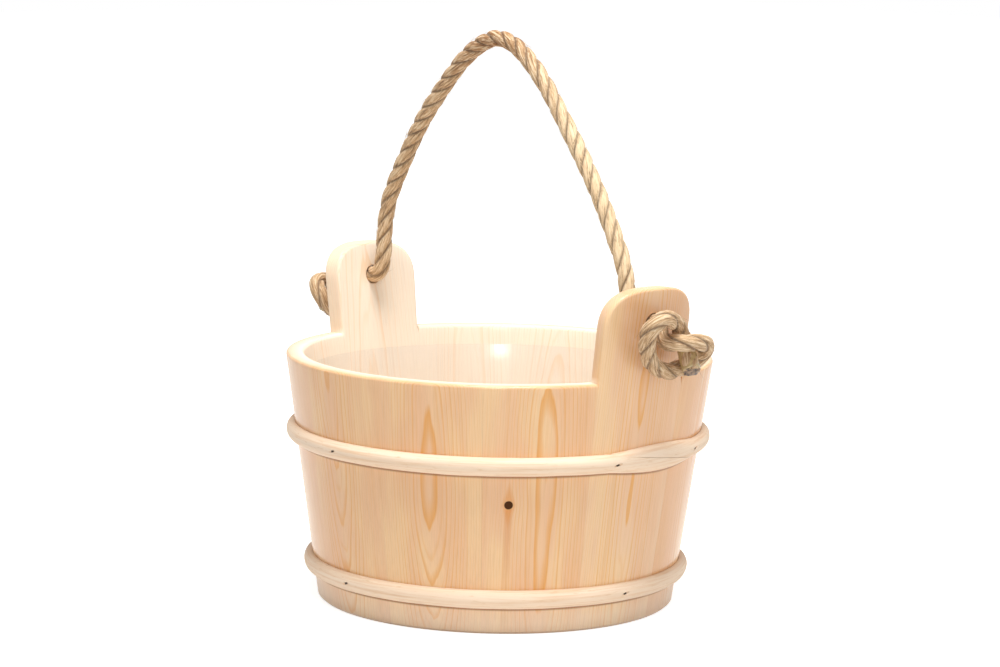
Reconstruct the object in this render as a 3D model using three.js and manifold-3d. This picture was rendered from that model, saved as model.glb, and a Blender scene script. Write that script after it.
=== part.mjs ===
// A stave-built sauna bucket with a rope handle. Millimetres, +Z up.
// The origin is the middle of the foot circle, and the two ears stand on the X axis.
import * as THREE from "three";
import { mergeVertices } from "three/addons/utils/BufferGeometryUtils.js";
import Module from "manifold-3d";

const wasm = await Module();
wasm.setup();

// Body: a cone of staves glued edge to edge
const RIM_RADIUS = 130; // outside, at the rim
const FOOT_RADIUS = 108.5; // outside, at the feet
const BODY_HEIGHT = 150;
const STAVES_PER_SIDE = 6; // on each side of the line through the ears
const STAVE_THICKNESS = 11; // measured level, along the radius
const GLUE_GAP = 0.3;
const RIM_ROUND = 2;
const RIM_STEPS = 3;
const FOOT_CHAMFER = 1.5;
const FACETS_PER_STAVE = 5;

// Ears: two staves that run on above the rim
const EAR_RISE = 55; // above the rim
const EAR_BASE_WIDTH = 66.4;
const EAR_SHOULDER_WIDTH = 67.8; // where the rounded top begins
const EAR_ROUND_HEIGHT = 26.8; // height of the rounded top
const EAR_ROUNDNESS = 2.8; // exponent of the rounded top: 2 is an ellipse
const EAR_CREST = 8; // short flat at the very top
const EAR_EDGE_ROUND = 2;
const EAR_FILLET = 3; // height over which its rounded edges begin, above the rim
const EAR_TOP_STEPS = 7;
const JOINT_EDGE_BREAK = 0.4; // softened corner of a stave below the rim
const CORNER_BULGE = 0.4; // of the way from a flat chamfer to a sharp corner

// Rope hole through each ear
const HOLE_RISE = 34.5; // centre above the rim
const HOLE_FIT = 0.6; // round the rope
const HOLE_SIDES = 20;

// Bottom: boards glued into a disc that sits in a groove, the croze
const BOTTOM_RAISE = 14; // underside above the feet
const BOTTOM_THICKNESS = 10;
const BOTTOM_CHAMFER = 1;
const BOARD_COUNT = 3;
const CROZE_DEPTH = 4;
const CROZE_FLARE = 1;
const CROZE_FIT = 0.3; // clearance of the bottom in its groove

// Liner: a thin clear tub inside the staves
const LINER_DROP = 12; // its edge below the rim
const LINER_WALL = 1.4;
const LINER_CORNER = 9;
const LINER_CORNER_STEPS = 3;
const LINER_FIT = 0.6; // to the staves
const LINER_SEAT = 0.3; // above the bottom boards

// Hoops: half-round rods, bent round and lapped
const HOOP_HEIGHT = 11.4;
const HOOP_PROUD = 5.7;
const HOOP_FIT = 0.4; // to the staves
const HOOP_ARC_STEPS = 7;
const LAP_SPAN = 36; // degrees that the two tapered ends share
const LAP_TIP = 1.5; // height left at the tip of each end
const LAP_SPREAD = 2.6; // how far the pair swells above and below one rod
const LAP_GAP = 0.3;
const UPPER_HOOP_HEIGHT = 102; // centre above the feet
const UPPER_LAP_START = -9; // degrees from +X
const LOWER_HOOP_HEIGHT = 21.5;
const LOWER_LAP_START = 171;

// Brads: headed pins through the hoops into the staves
const BRAD_LENGTH = 14;
const BRAD_HEAD_RADIUS = 1.1;
const BRAD_HEAD_HEIGHT = 0.8;
const BRAD_SHANK_RADIUS = 0.7;
const BRAD_POINT = 1.8;
const BRAD_SUNK = 0.3; // head below the crest of the rod
const BRAD_FIT = 0.3;
const BRAD_SIDES = 6;
const UPPER_BRAD_ANGLES = [-90, -8, 25, 90, 180];
const LOWER_BRAD_ANGLES = [-90, 0, 90, 172, 205];

// Rope: one length of laid fibre rope with a stopper knot outside each ear
const ROPE_DIAMETER = 10.2;
const ROPE_SIDES = 12;
const ARCH_STEPS = 72;
const KNOT_STEPS = 72;
const KNOT_START = -3; // where knot and arch meet, outward from the ear's face: inside the hole
const ROPE_MEETING_GAP = 0.3;
const NEXT_ALONG_ROPE = 1.7; // in rope diameters: stretches closer along the rope are the same bend
const GAP_SAMPLES = 400;
const LEFT_KNOT_ROLL = 16; // degrees about the rope hole

// Route of the arch as [along X, above the hole], from the right ear over to the left
const ARCH_ROUTE = [
  [129, 0],
  [122.5, 0.2],
  [117, 3.6],
  [113.8, 9.5],
  [111.8, 19],
  [108, 31.5],
  [101, 45],
  [87.5, 67],
  [71.5, 89],
  [53.8, 111],
  [34, 133.5],
  [18, 147],
  [5, 154],
  [-9, 156],
  [-23, 151.5],
  [-38, 142],
  [-53.6, 127.5],
  [-77, 101.5],
  [-94.6, 75],
  [-103.5, 60],
  [-109.5, 47],
  [-112.4, 34],
  [-113.4, 22],
  [-114, 12],
  [-117, 3.8],
  [-122.5, 0.2],
  [-129, 0],
];

// Routes of the two stopper knots, each an overhand knot with a short tail, as
// [outward from the ear, across the ear, up] from the hole
const RIGHT_KNOT_ROUTE = [
  [1, 0, -0.1],
  [5.2, -1, -2.4],
  [8, -1.2, -6.6],
  [12, -1, -9.4],
  [17, 0, -9.8],
  [21, 2.5, -9.4],
  [23.6, 7, -9.2],
  [24.2, 12.5, -9.5],
  [22.6, 18.5, -10.5],
  [19.4, 24.2, -12.6],
  [14.8, 27.4, -16.8],
  [10.4, 26.2, -21.4],
  [8.2, 21.2, -24.6],
  [8, 13.7, -26.8],
  [8, 6, -27.8],
  [8.2, -1, -26.6],
  [8.6, -7, -23.4],
  [9.6, -11.5, -19.2],
  [11, -14.6, -14.4],
  [12.8, -16.8, -9.6],
  [14.6, -18, -5],
  [16.6, -18, -0.8],
  [18.6, -16.2, 2.6],
  [19.6, -12.4, 4.8],
  [19, -7.2, 5],
  [17, -1.6, 3.6],
  [13.6, 5.6, 0.4],
  [10.4, 11, -3.4],
  [8.9, 14.2, -7],
  [9.2, 15.8, -10.8],
  [11, 15.6, -14.4],
  [13.8, 14.2, -17.4],
  [17.2, 12.4, -20],
  [20, 11.2, -23],
  [21.6, 10.8, -26.2],
];
const LEFT_KNOT_ROUTE = [
  [1, 0, -0.1],
  [5, -1.4, -2.4],
  [8, -3.4, -6.4],
  [12, -5, -9.2],
  [17, -5, -9.8],
  [21, -2.5, -9.4],
  [23.6, 2, -9.2],
  [24.2, 7.5, -9.5],
  [22.6, 13.5, -10.5],
  [19.2, 18.8, -12.4],
  [14.6, 21.4, -16.2],
  [10.4, 19.4, -21],
  [8.4, 14.6, -25.4],
  [8.4, 7.4, -27.6],
  [8.4, 0, -28.2],
  [8.2, -6, -26.6],
  [8.6, -12, -23.4],
  [9.6, -16.5, -19.2],
  [11, -19.6, -14.4],
  [12.8, -21.8, -9.6],
  [14.6, -23, -5],
  [16.6, -23, -0.8],
  [18.6, -21.2, 2.6],
  [19.6, -17.4, 4.8],
  [19.2, -11.5, 5.6],
  [17.4, -4.6, 5],
  [14.4, 2.4, 3],
  [11.4, 8, -0.4],
  [9.4, 11.4, -4.8],
  [9.2, 12.2, -9.4],
  [10.8, 11, -13.6],
  [13.6, 9.2, -17],
  [17.2, 7.4, -20],
  [20, 6.2, -23],
  [21.6, 5.8, -26.2],
];

const DEGREE = Math.PI / 180;
const staveCount = 2 * STAVES_PER_SIDE;
const staveAngle = (2 * Math.PI) / staveCount;
const ringFacets = staveCount * FACETS_PER_STAVE;
const holeHeight = BODY_HEIGHT + HOLE_RISE;
const crozeLow = BOTTOM_RAISE - CROZE_FIT;
const crozeHigh = BOTTOM_RAISE + BOTTOM_THICKNESS + CROZE_FIT;

function outerRadius(z) {
  return FOOT_RADIUS + ((RIM_RADIUS - FOOT_RADIUS) * z) / BODY_HEIGHT;
}

function innerRadius(z) {
  return outerRadius(z) - STAVE_THICKNESS;
}

const holeFace = outerRadius(holeHeight);

// Finishes
const pine = new THREE.MeshStandardMaterial({ color: 0xe9c59b, roughness: 0.55 });
const peeledRod = new THREE.MeshStandardMaterial({ color: 0xf1dcc0, roughness: 0.6 });
const steel = new THREE.MeshStandardMaterial({ color: 0x4a4440, roughness: 0.45, metalness: 0.9 });
const clearPlastic = new THREE.MeshStandardMaterial({
  color: 0xf6ebdf,
  roughness: 0.12,
  transparent: true,
  opacity: 0.35,
});
const fibreRope = new THREE.MeshStandardMaterial({ color: 0xa98759, roughness: 0.9 });

const bucket = new THREE.Group();

function addPiece(name, geometry, material) {
  const mesh = new THREE.Mesh(geometry, material);
  mesh.name = name;
  bucket.add(mesh);
  return mesh;
}

// Boolean helpers: a closed geometry becomes a solid and back
function toSolid(geometry) {
  const bare = geometry.clone();
  bare.deleteAttribute("normal");
  bare.deleteAttribute("uv");
  const merged = mergeVertices(bare, 1e-4);
  const mesh = new wasm.Mesh({
    numProp: 3,
    vertProperties: merged.attributes.position.array,
    triVerts: new Uint32Array(merged.index.array),
  });
  return new wasm.Manifold(mesh);
}

function toGeometry(solid) {
  const mesh = solid.getMesh();
  const geometry = new THREE.BufferGeometry();
  geometry.setAttribute("position", new THREE.BufferAttribute(mesh.vertProperties, 3));
  geometry.setIndex(new THREE.BufferAttribute(mesh.triVerts, 1));
  return geometry;
}

function cutAway(geometry, cutters) {
  const start = toSolid(geometry);
  return toGeometry(cutters.reduce((solid, cutter) => solid.subtract(toSolid(cutter)), start));
}

// Triangles that close a flat loop of points, seen from the side its points run round anticlockwise
function capTriangles(loop) {
  const normal = new THREE.Vector3();
  loop.forEach((point, i) => {
    const next = loop[(i + 1) % loop.length];
    normal.add(point.clone().cross(next));
  });
  normal.normalize();
  const right = loop[1].clone().sub(loop[0]).normalize();
  const up = normal.clone().cross(right);
  const flat = loop.map((point) => new THREE.Vector2(point.dot(right), point.dot(up)));
  return THREE.ShapeUtils.triangulateShape(flat, []);
}

// Skins a row of closed loops that all have the same number of points, and caps both ends
function loft(loops) {
  const count = loops[0].length;
  const last = (loops.length - 1) * count;
  const index = [];
  for (let row = 0; row < last; row += count) {
    for (let i = 0; i < count; i++) {
      const here = row + i;
      const beside = row + ((i + 1) % count);
      index.push(here, beside, beside + count);
      index.push(here, beside + count, here + count);
    }
  }
  capTriangles(loops[0]).forEach(([a, b, c]) => index.push(a, c, b));
  capTriangles(loops.at(-1)).forEach(([a, b, c]) => index.push(last + a, last + b, last + c));
  const geometry = new THREE.BufferGeometry();
  geometry.setFromPoints(loops.flat());
  geometry.setIndex(index);
  return geometry;
}

// Revolves an [radius, height] profile about Z, with its facets in step with the staves'
function revolve(profile, segments, turn = 0) {
  const points = profile.map(([radius, height]) => new THREE.Vector2(radius, height));
  return new THREE.LatheGeometry(points, segments, turn).rotateX(Math.PI / 2);
}

function polar(radius, angle, z) {
  return new THREE.Vector3(radius * Math.cos(angle), radius * Math.sin(angle), z);
}

function arc(radius, from, to, z) {
  return Array.from({ length: FACETS_PER_STAVE + 1 }, (_, i) => {
    return polar(radius, from + ((to - from) * i) / FACETS_PER_STAVE, z);
  });
}

// Angle of a stave's side face at a radius, half a glue gap short of the joint plane
function jointAngle(radius) {
  return staveAngle / 2 - Math.asin(GLUE_GAP / 2 / radius);
}

// Heights and radii that every stave shares: the chamfered foot and the croze
function footRows() {
  const row = (z, outset, inset) => ({
    z,
    outer: outerRadius(z) - outset,
    inner: innerRadius(z) + inset,
  });
  return [
    row(0, FOOT_CHAMFER, FOOT_CHAMFER),
    row(FOOT_CHAMFER, 0, 0),
    row(crozeLow - CROZE_FLARE, 0, 0),
    row(crozeLow, 0, CROZE_DEPTH),
    row(crozeHigh, 0, CROZE_DEPTH),
    row(crozeHigh + CROZE_FLARE, 0, 0),
  ];
}

// The rim: a flat top with two rounded edges
function rimRows() {
  const round = Math.min(RIM_ROUND, STAVE_THICKNESS / 2 - GLUE_GAP);
  return Array.from({ length: RIM_STEPS + 1 }, (_, i) => {
    const turn = ((Math.PI / 2) * i) / RIM_STEPS;
    const z = BODY_HEIGHT - round * (1 - Math.sin(turn));
    const inset = round * (1 - Math.cos(turn));
    return { z, outer: outerRadius(z) - inset, inner: innerRadius(z) + inset };
  });
}

function plainSection({ z, outer, inner }) {
  const outerSide = jointAngle(outer);
  const innerSide = jointAngle(inner);
  return [...arc(outer, -outerSide, outerSide, z), ...arc(inner, innerSide, -innerSide, z)];
}

function plainStave() {
  return loft([...footRows(), ...rimRows()].map(plainSection));
}

// A section with softened corners, whose sides lie at the given angle
function softSection({ z, outer, inner, side, soft }) {
  const outerEnd = side - soft / outer;
  const innerEnd = side - soft / inner;
  const corner = (radius, end, depth) => {
    const middle = polar(radius, end, z).lerp(polar(depth, side, z), 0.5);
    return middle.lerp(polar(radius, side, z), CORNER_BULGE);
  };
  const flank = [
    corner(outer, outerEnd, outer - soft),
    polar(outer - soft, side, z),
    polar(inner + soft, side, z),
    corner(inner, innerEnd, inner + soft),
  ];
  const mirrored = flank.map((point) => point.clone().multiply(new THREE.Vector3(1, -1, 1)));
  return [
    ...arc(outer, -outerEnd, outerEnd, z),
    ...flank,
    ...arc(inner, innerEnd, -innerEnd, z),
    ...mirrored.reverse(),
  ];
}

// Width of the ear across its outer face
function earWidth(z) {
  const roundStart = BODY_HEIGHT + EAR_RISE - EAR_ROUND_HEIGHT;
  if (z <= roundStart) {
    const climb = (z - BODY_HEIGHT) / (roundStart - BODY_HEIGHT);
    return EAR_BASE_WIDTH + (EAR_SHOULDER_WIDTH - EAR_BASE_WIDTH) * climb;
  }
  const climb = Math.min(1, (z - roundStart) / EAR_ROUND_HEIGHT);
  const share = (1 - climb ** EAR_ROUNDNESS) ** (1 / EAR_ROUNDNESS);
  return Math.max(EAR_CREST, EAR_SHOULDER_WIDTH * share);
}

function earRow(z) {
  const depth = Math.min(EAR_EDGE_ROUND, BODY_HEIGHT + EAR_RISE - z);
  const roll = EAR_EDGE_ROUND - Math.sqrt(EAR_EDGE_ROUND ** 2 - (EAR_EDGE_ROUND - depth) ** 2);
  const outer = outerRadius(z) - roll;
  const inner = innerRadius(z) + roll;
  const soft = Math.min(EAR_EDGE_ROUND, (outer - inner) / 2 - JOINT_EDGE_BREAK);
  const side = Math.asin(earWidth(z) / 2 / outerRadius(z));
  return { z, outer, inner, side, soft };
}

function earStave() {
  const stave = footRows().map((row) => ({
    ...row,
    side: jointAngle(row.inner),
    soft: JOINT_EDGE_BREAK,
  }));
  const shoulderLow = BODY_HEIGHT - RIM_ROUND;
  const shoulder = {
    z: shoulderLow,
    outer: outerRadius(shoulderLow),
    inner: innerRadius(shoulderLow),
    side: jointAngle(innerRadius(shoulderLow)),
    soft: JOINT_EDGE_BREAK,
  };
  const filletTop = earRow(BODY_HEIGHT + EAR_FILLET);
  const filletMiddle = {
    z: BODY_HEIGHT,
    outer: outerRadius(BODY_HEIGHT),
    inner: innerRadius(BODY_HEIGHT),
    side: (shoulder.side + filletTop.side) / 2,
    soft: EAR_EDGE_ROUND / 2,
  };
  const top = Array.from({ length: EAR_TOP_STEPS + 1 }, (_, i) => {
    const climb = Math.sin(((Math.PI / 2) * i) / EAR_TOP_STEPS);
    return earRow(BODY_HEIGHT + EAR_RISE - EAR_ROUND_HEIGHT * (1 - climb));
  });
  return loft([...stave, shoulder, filletMiddle, filletTop, ...top].map(softSection));
}

function ropeHole() {
  const reach = 2 * STAVE_THICKNESS;
  const radius = ROPE_DIAMETER / 2 + HOLE_FIT;
  const bore = new THREE.CylinderGeometry(radius, radius, 2 * reach, HOLE_SIDES);
  return bore.rotateZ(Math.PI / 2).translate(holeFace - STAVE_THICKNESS / 2, 0, holeHeight);
}

// Hoops
const hoops = [
  {
    name: "upper_hoop",
    height: UPPER_HOOP_HEIGHT,
    lapStart: UPPER_LAP_START,
    brads: UPPER_BRAD_ANGLES,
  },
  {
    name: "lower_hoop",
    height: LOWER_HOOP_HEIGHT,
    lapStart: LOWER_LAP_START,
    brads: LOWER_BRAD_ANGLES,
  },
];

// Lower and upper edge of a hoop's rod at a number of degrees past the start of its lap
function hoopEdges(height, degrees) {
  const low = height - HOOP_HEIGHT / 2;
  const high = height + HOOP_HEIGHT / 2;
  const seam = (share) => high - LAP_TIP - (HOOP_HEIGHT - 2 * LAP_TIP) * share;
  const swell = (share) => LAP_SPREAD * Math.sin(Math.PI * THREE.MathUtils.clamp(share, 0, 1));
  const fromStart = degrees / LAP_SPAN;
  const fromEnd = (degrees - 360) / LAP_SPAN;
  return {
    bottom: Math.max(low, seam(fromStart) + LAP_GAP / 2) - swell(fromEnd),
    top: Math.min(high, seam(fromEnd) - LAP_GAP / 2) + swell(fromStart),
  };
}

function hoopSection(height, degrees, angle) {
  const { bottom, top } = hoopEdges(height, degrees);
  const proud = HOOP_PROUD * Math.sqrt(Math.min(1, (top - bottom) / HOOP_HEIGHT));
  const middle = (bottom + top) / 2;
  const onWall = (z, out) => polar(outerRadius(z) + HOOP_FIT + out, angle, z);
  const crown = Array.from({ length: HOOP_ARC_STEPS - 1 }, (_, i) => {
    const turn = (Math.PI * (i + 1)) / HOOP_ARC_STEPS;
    return onWall(middle + ((top - bottom) / 2) * Math.cos(turn), proud * Math.sin(turn));
  });
  return [onWall(bottom, 0), onWall(top, 0), ...crown];
}

function hoopRod({ height, lapStart }) {
  const stepDegrees = 360 / ringFacets;
  const steps = Math.round((360 + LAP_SPAN) / stepDegrees);
  const sections = Array.from({ length: steps + 1 }, (_, i) => {
    const degrees = ((360 + LAP_SPAN) * i) / steps;
    return hoopSection(height, degrees, (lapStart + degrees) * DEGREE);
  });
  return loft(sections);
}

// Height on the hoop where a brad goes in: the middle of the rod that it pins
function bradHeight({ height, lapStart }, degrees) {
  const past = THREE.MathUtils.euclideanModulo(degrees - lapStart, 360);
  const turned = past < LAP_SPAN / 2 ? past + 360 : past;
  const { bottom, top } = hoopEdges(height, turned);
  return (bottom + top) / 2;
}

// A headed pin that points inwards along the radius, its head just under the crest of the rod
function bradProfile(fit, headReach) {
  const head = BRAD_HEAD_RADIUS + fit;
  const shank = BRAD_SHANK_RADIUS + fit;
  const neck = -BRAD_HEAD_HEIGHT - fit;
  const end = -BRAD_LENGTH - fit;
  return [
    [0, end],
    [shank, end + BRAD_POINT],
    [shank, neck],
    [head, neck],
    [head, headReach],
    [0, headReach],
  ];
}

function bradSolid(hoop, degrees, fit, headReach, turnBack = 0) {
  const z = bradHeight(hoop, degrees);
  const crest = outerRadius(z) + HOOP_FIT + HOOP_PROUD - BRAD_SUNK;
  const pin = revolve(bradProfile(fit, headReach), BRAD_SIDES).rotateY(Math.PI / 2);
  return pin.translate(crest, 0, z).rotateZ(degrees * DEGREE - turnBack);
}

function bradHole(hoop, degrees, turnBack = 0) {
  return bradSolid(hoop, degrees, BRAD_FIT, HOOP_PROUD, turnBack);
}

// Staves, numbered anticlockwise from the right ear
for (let i = 0; i < staveCount; i++) {
  const angle = i * staveAngle;
  const isEar = i % STAVES_PER_SIDE === 0;
  const holes = hoops.flatMap((hoop) => {
    const mine = hoop.brads.filter((degrees) => {
      const apart = THREE.MathUtils.euclideanModulo(degrees * DEGREE - angle + Math.PI, 2 * Math.PI);
      return Math.abs(apart - Math.PI) < staveAngle / 2;
    });
    return mine.map((degrees) => bradHole(hoop, degrees, angle));
  });
  if (isEar) {
    holes.push(ropeHole());
  }
  const blank = isEar ? earStave() : plainStave();
  const earName = i === 0 ? "ear_stave_right" : "ear_stave_left";
  const name = isEar ? earName : `stave_${String(i).padStart(2, "0")}`;
  addPiece(name, cutAway(blank, holes), pine).rotation.z = angle;
}

// Bottom boards: a disc sawn along two lines
const bottomRadius = innerRadius(crozeLow) + CROZE_DEPTH - CROZE_FIT;
const bottomTop = BOTTOM_RAISE + BOTTOM_THICKNESS;
const bottomDisc = revolve(
  [
    [0, BOTTOM_RAISE],
    [bottomRadius - BOTTOM_CHAMFER, BOTTOM_RAISE],
    [bottomRadius, BOTTOM_RAISE + BOTTOM_CHAMFER],
    [bottomRadius, bottomTop - BOTTOM_CHAMFER],
    [bottomRadius - BOTTOM_CHAMFER, bottomTop],
    [0, bottomTop],
  ],
  ringFacets,
  staveAngle / FACETS_PER_STAVE / 2,
);
const boardPitch = (2 * bottomRadius) / BOARD_COUNT;
for (let i = 0; i < BOARD_COUNT; i++) {
  const middle = boardPitch * (i - (BOARD_COUNT - 1) / 2);
  const strip = new THREE.BoxGeometry(3 * bottomRadius, boardPitch - GLUE_GAP, 3 * BOTTOM_THICKNESS);
  strip.translate(0, middle, BOTTOM_RAISE + BOTTOM_THICKNESS / 2);
  const board = toSolid(bottomDisc).intersect(toSolid(strip));
  addPiece(`bottom_board_${i + 1}`, toGeometry(board), pine);
}

// Liner
function linerCorner(radius, middleHeight, middleRadius) {
  return Array.from({ length: LINER_CORNER_STEPS + 1 }, (_, i) => {
    const turn = ((Math.PI / 2) * i) / LINER_CORNER_STEPS;
    return [middleRadius + radius * Math.sin(turn), middleHeight - radius * Math.cos(turn)];
  });
}

const linerFloor = bottomTop + LINER_SEAT;
const linerTop = BODY_HEIGHT - LINER_DROP;
const linerRadius = (z) => innerRadius(z) - LINER_FIT;
const linerBend = linerFloor + LINER_CORNER;
const linerBendRadius = linerRadius(linerBend) - LINER_CORNER;
const linerProfile = [
  [0, linerFloor],
  ...linerCorner(LINER_CORNER, linerBend, linerBendRadius),
  [linerRadius(linerTop), linerTop],
  [linerRadius(linerTop) - LINER_WALL, linerTop],
  ...linerCorner(LINER_CORNER - LINER_WALL, linerBend, linerBendRadius).reverse(),
  [0, linerFloor + LINER_WALL],
];
addPiece(
  "liner",
  revolve(linerProfile, ringFacets, staveAngle / FACETS_PER_STAVE / 2),
  clearPlastic,
);

// Hoops and their brads
hoops.forEach((hoop) => {
  const holes = hoop.brads.map((degrees) => bradHole(hoop, degrees));
  addPiece(hoop.name, cutAway(hoopRod(hoop), holes), peeledRod);
  hoop.brads.forEach((degrees, i) => {
    addPiece(`${hoop.name}_brad_${i + 1}`, bradSolid(hoop, degrees, 0, 0), steel);
  });
});

// Rope: a round section drawn along a smooth route
function ropeCurve(points) {
  return new THREE.CatmullRomCurve3(points, false, "centripetal");
}

function ropeAlong(curve, steps) {
  const rim = Array.from({ length: ROPE_SIDES }, (_, i) => {
    const turn = (2 * Math.PI * i) / ROPE_SIDES;
    return new THREE.Vector2(Math.cos(turn), Math.sin(turn)).multiplyScalar(ROPE_DIAMETER / 2);
  });
  return new THREE.ExtrudeGeometry(new THREE.Shape(rim), { steps, extrudePath: curve });
}

// Least clear space between two stretches of the same rope that don't follow straight on
function leastGap(curve) {
  const points = curve.getSpacedPoints(GAP_SAMPLES);
  const spacing = curve.getLength() / GAP_SAMPLES;
  const skip = Math.ceil((NEXT_ALONG_ROPE * ROPE_DIAMETER) / spacing);
  let least = Infinity;
  points.forEach((point, i) => {
    points.slice(i + skip).forEach((other) => {
      least = Math.min(least, point.distanceTo(other) - ROPE_DIAMETER);
    });
  });
  return least;
}

const ropeEnd = holeFace + KNOT_START - ROPE_MEETING_GAP / 2;
const archPoints = [
  new THREE.Vector3(ropeEnd, 0, holeHeight),
  ...ARCH_ROUTE.map(([along, rise]) => new THREE.Vector3(along, 0, holeHeight + rise)),
  new THREE.Vector3(-ropeEnd, 0, holeHeight),
];
const archCurve = ropeCurve(archPoints);
addPiece("rope_arch", ropeAlong(archCurve, ARCH_STEPS), fibreRope);

console.log(`arch: ${archCurve.getLength().toFixed(0)} mm of rope`);

function knotCurve(route) {
  const start = new THREE.Vector3(KNOT_START + ROPE_MEETING_GAP / 2, 0, 0);
  return ropeCurve([start, ...route.map((point) => new THREE.Vector3(...point))]);
}

[
  { name: "rope_knot_right", route: RIGHT_KNOT_ROUTE, turn: 0, roll: 0 },
  { name: "rope_knot_left", route: LEFT_KNOT_ROUTE, turn: Math.PI, roll: LEFT_KNOT_ROLL * DEGREE },
].forEach(({ name, route, turn, roll }) => {
  const curve = knotCurve(route);
  const knot = addPiece(name, ropeAlong(curve, KNOT_STEPS), fibreRope);
  knot.rotation.set(roll, 0, turn, "ZYX");
  knot.position.set(holeFace * Math.cos(turn), 0, holeHeight);
  console.log(`${name}: ${curve.getLength().toFixed(0)} mm of rope, least gap ${leastGap(curve).toFixed(2)} mm`);
});

export default bucket;
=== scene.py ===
# %% [markdown]
# # A sauna bucket in pine, with a rope handle
# The imported CAD model is the frame of this scene. It already has every piece at its real size, and it
# knows which pieces move together. Each cell below dresses some of those pieces: it models a finer
# mesh in the same place, hides the CAD node that it stands for, and gives it a finish.
# All lengths are metres, +Z is up, and the two ears stand on the X axis.

# %% Load the frame
import bmesh
import bpy
import math
import numpy as np
from functools import partial
from mathutils import Matrix, Vector


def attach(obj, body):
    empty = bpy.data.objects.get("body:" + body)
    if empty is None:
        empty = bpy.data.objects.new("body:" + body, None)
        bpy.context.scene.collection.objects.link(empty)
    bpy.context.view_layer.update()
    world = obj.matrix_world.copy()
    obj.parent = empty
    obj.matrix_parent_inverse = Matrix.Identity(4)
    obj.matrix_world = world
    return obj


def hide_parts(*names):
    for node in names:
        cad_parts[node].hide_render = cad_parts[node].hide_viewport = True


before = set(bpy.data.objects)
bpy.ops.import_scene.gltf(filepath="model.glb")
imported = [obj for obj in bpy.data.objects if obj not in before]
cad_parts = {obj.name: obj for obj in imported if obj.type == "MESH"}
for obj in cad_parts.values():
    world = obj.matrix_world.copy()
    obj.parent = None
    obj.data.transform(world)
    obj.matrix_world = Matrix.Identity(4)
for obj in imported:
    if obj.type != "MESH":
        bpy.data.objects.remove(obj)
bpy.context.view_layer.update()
MM = 0.001

# %% [markdown]
# ## The camera
# The view was found by fitting a camera to the rim, the foot and the ears: a long lens two metres away,
# a little above the handle, turned a few degrees down and rolled by about one degree. A long lens keeps the
# ellipses of rim and hoops almost alike, which is what makes the bucket look calm.

# %% Camera
CAMERA_TURN = math.radians(49)
CAMERA_DISTANCE = 2.0157
CAMERA_HEIGHT = 0.4542
CAMERA_PITCH = math.radians(8.258)
CAMERA_ROLL = math.radians(1.158)
CAMERA_LENS = 120.47
SENSOR_WIDTH = 36

bpy.ops.object.camera_add()
camera = bpy.context.object
camera.data.lens = CAMERA_LENS
camera.data.sensor_width = SENSOR_WIDTH
turn_round = Matrix.Rotation(CAMERA_TURN, 4, "Z")
look_down = Matrix.Rotation(math.pi / 2 - CAMERA_PITCH, 4, "X")
place = Matrix.Translation((0, -CAMERA_DISTANCE, CAMERA_HEIGHT))
camera.matrix_world = turn_round @ place @ look_down @ Matrix.Rotation(CAMERA_ROLL, 4, "Z")
bpy.context.scene.camera = camera
print("camera at", [round(x, 3) for x in camera.matrix_world.translation])

# %% [markdown]
# ## The rope's route
# The handle is one length of laid natural-fibre rope. It runs through a hole in each ear, and a stopper
# knot outside the ear holds it. A cord is best drawn from its middle line, so the route comes first: a few
# points, given in millimetres, and a smooth curve through them. The points are the ones that the
# CAD tubes follow, so rope and tubes share the same space.

# %% Route of the rope
RIM_RADIUS = 130 * MM
FOOT_RADIUS = 108.5 * MM
BODY_HEIGHT = 150 * MM
STAVE_THICKNESS = 11 * MM
HOLE_HEIGHT = BODY_HEIGHT + 34.5 * MM
ROPE_DIAMETER = 10.2 * MM
KNOT_START = -3 * MM
LEFT_KNOT_ROLL = math.radians(16)
ROUTE_SPACING = 1 * MM
STEPS_BETWEEN = 24

ARCH_ROUTE = [
    (129, 0), (122.5, 0.2), (117, 3.6), (113.8, 9.5), (111.8, 19), (108, 31.5), (101, 45), (87.5, 67),
    (71.5, 89), (53.8, 111), (34, 133.5), (18, 147), (5, 154), (-9, 156), (-23, 151.5), (-38, 142),
    (-53.6, 127.5), (-77, 101.5), (-94.6, 75), (-103.5, 60), (-109.5, 47), (-112.4, 34), (-113.4, 22),
    (-114, 12), (-117, 3.8), (-122.5, 0.2), (-129, 0),
]
RIGHT_KNOT_ROUTE = [
    (1, 0, -0.1), (5.2, -1, -2.4), (8, -1.2, -6.6), (12, -1, -9.4), (17, 0, -9.8), (21, 2.5, -9.4),
    (23.6, 7, -9.2), (24.2, 12.5, -9.5), (22.6, 18.5, -10.5), (19.4, 24.2, -12.6), (14.8, 27.4, -16.8),
    (10.4, 26.2, -21.4), (8.2, 21.2, -24.6), (8, 13.7, -26.8), (8, 6, -27.8), (8.2, -1, -26.6),
    (8.6, -7, -23.4), (9.6, -11.5, -19.2), (11, -14.6, -14.4), (12.8, -16.8, -9.6), (14.6, -18, -5),
    (16.6, -18, -0.8), (18.6, -16.2, 2.6), (19.6, -12.4, 4.8), (19, -7.2, 5), (17, -1.6, 3.6),
    (13.6, 5.6, 0.4), (10.4, 11, -3.4), (8.9, 14.2, -7), (9.2, 15.8, -10.8), (11, 15.6, -14.4),
    (13.8, 14.2, -17.4), (17.2, 12.4, -20), (20, 11.2, -23), (21.6, 10.8, -26.2),
]
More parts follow.
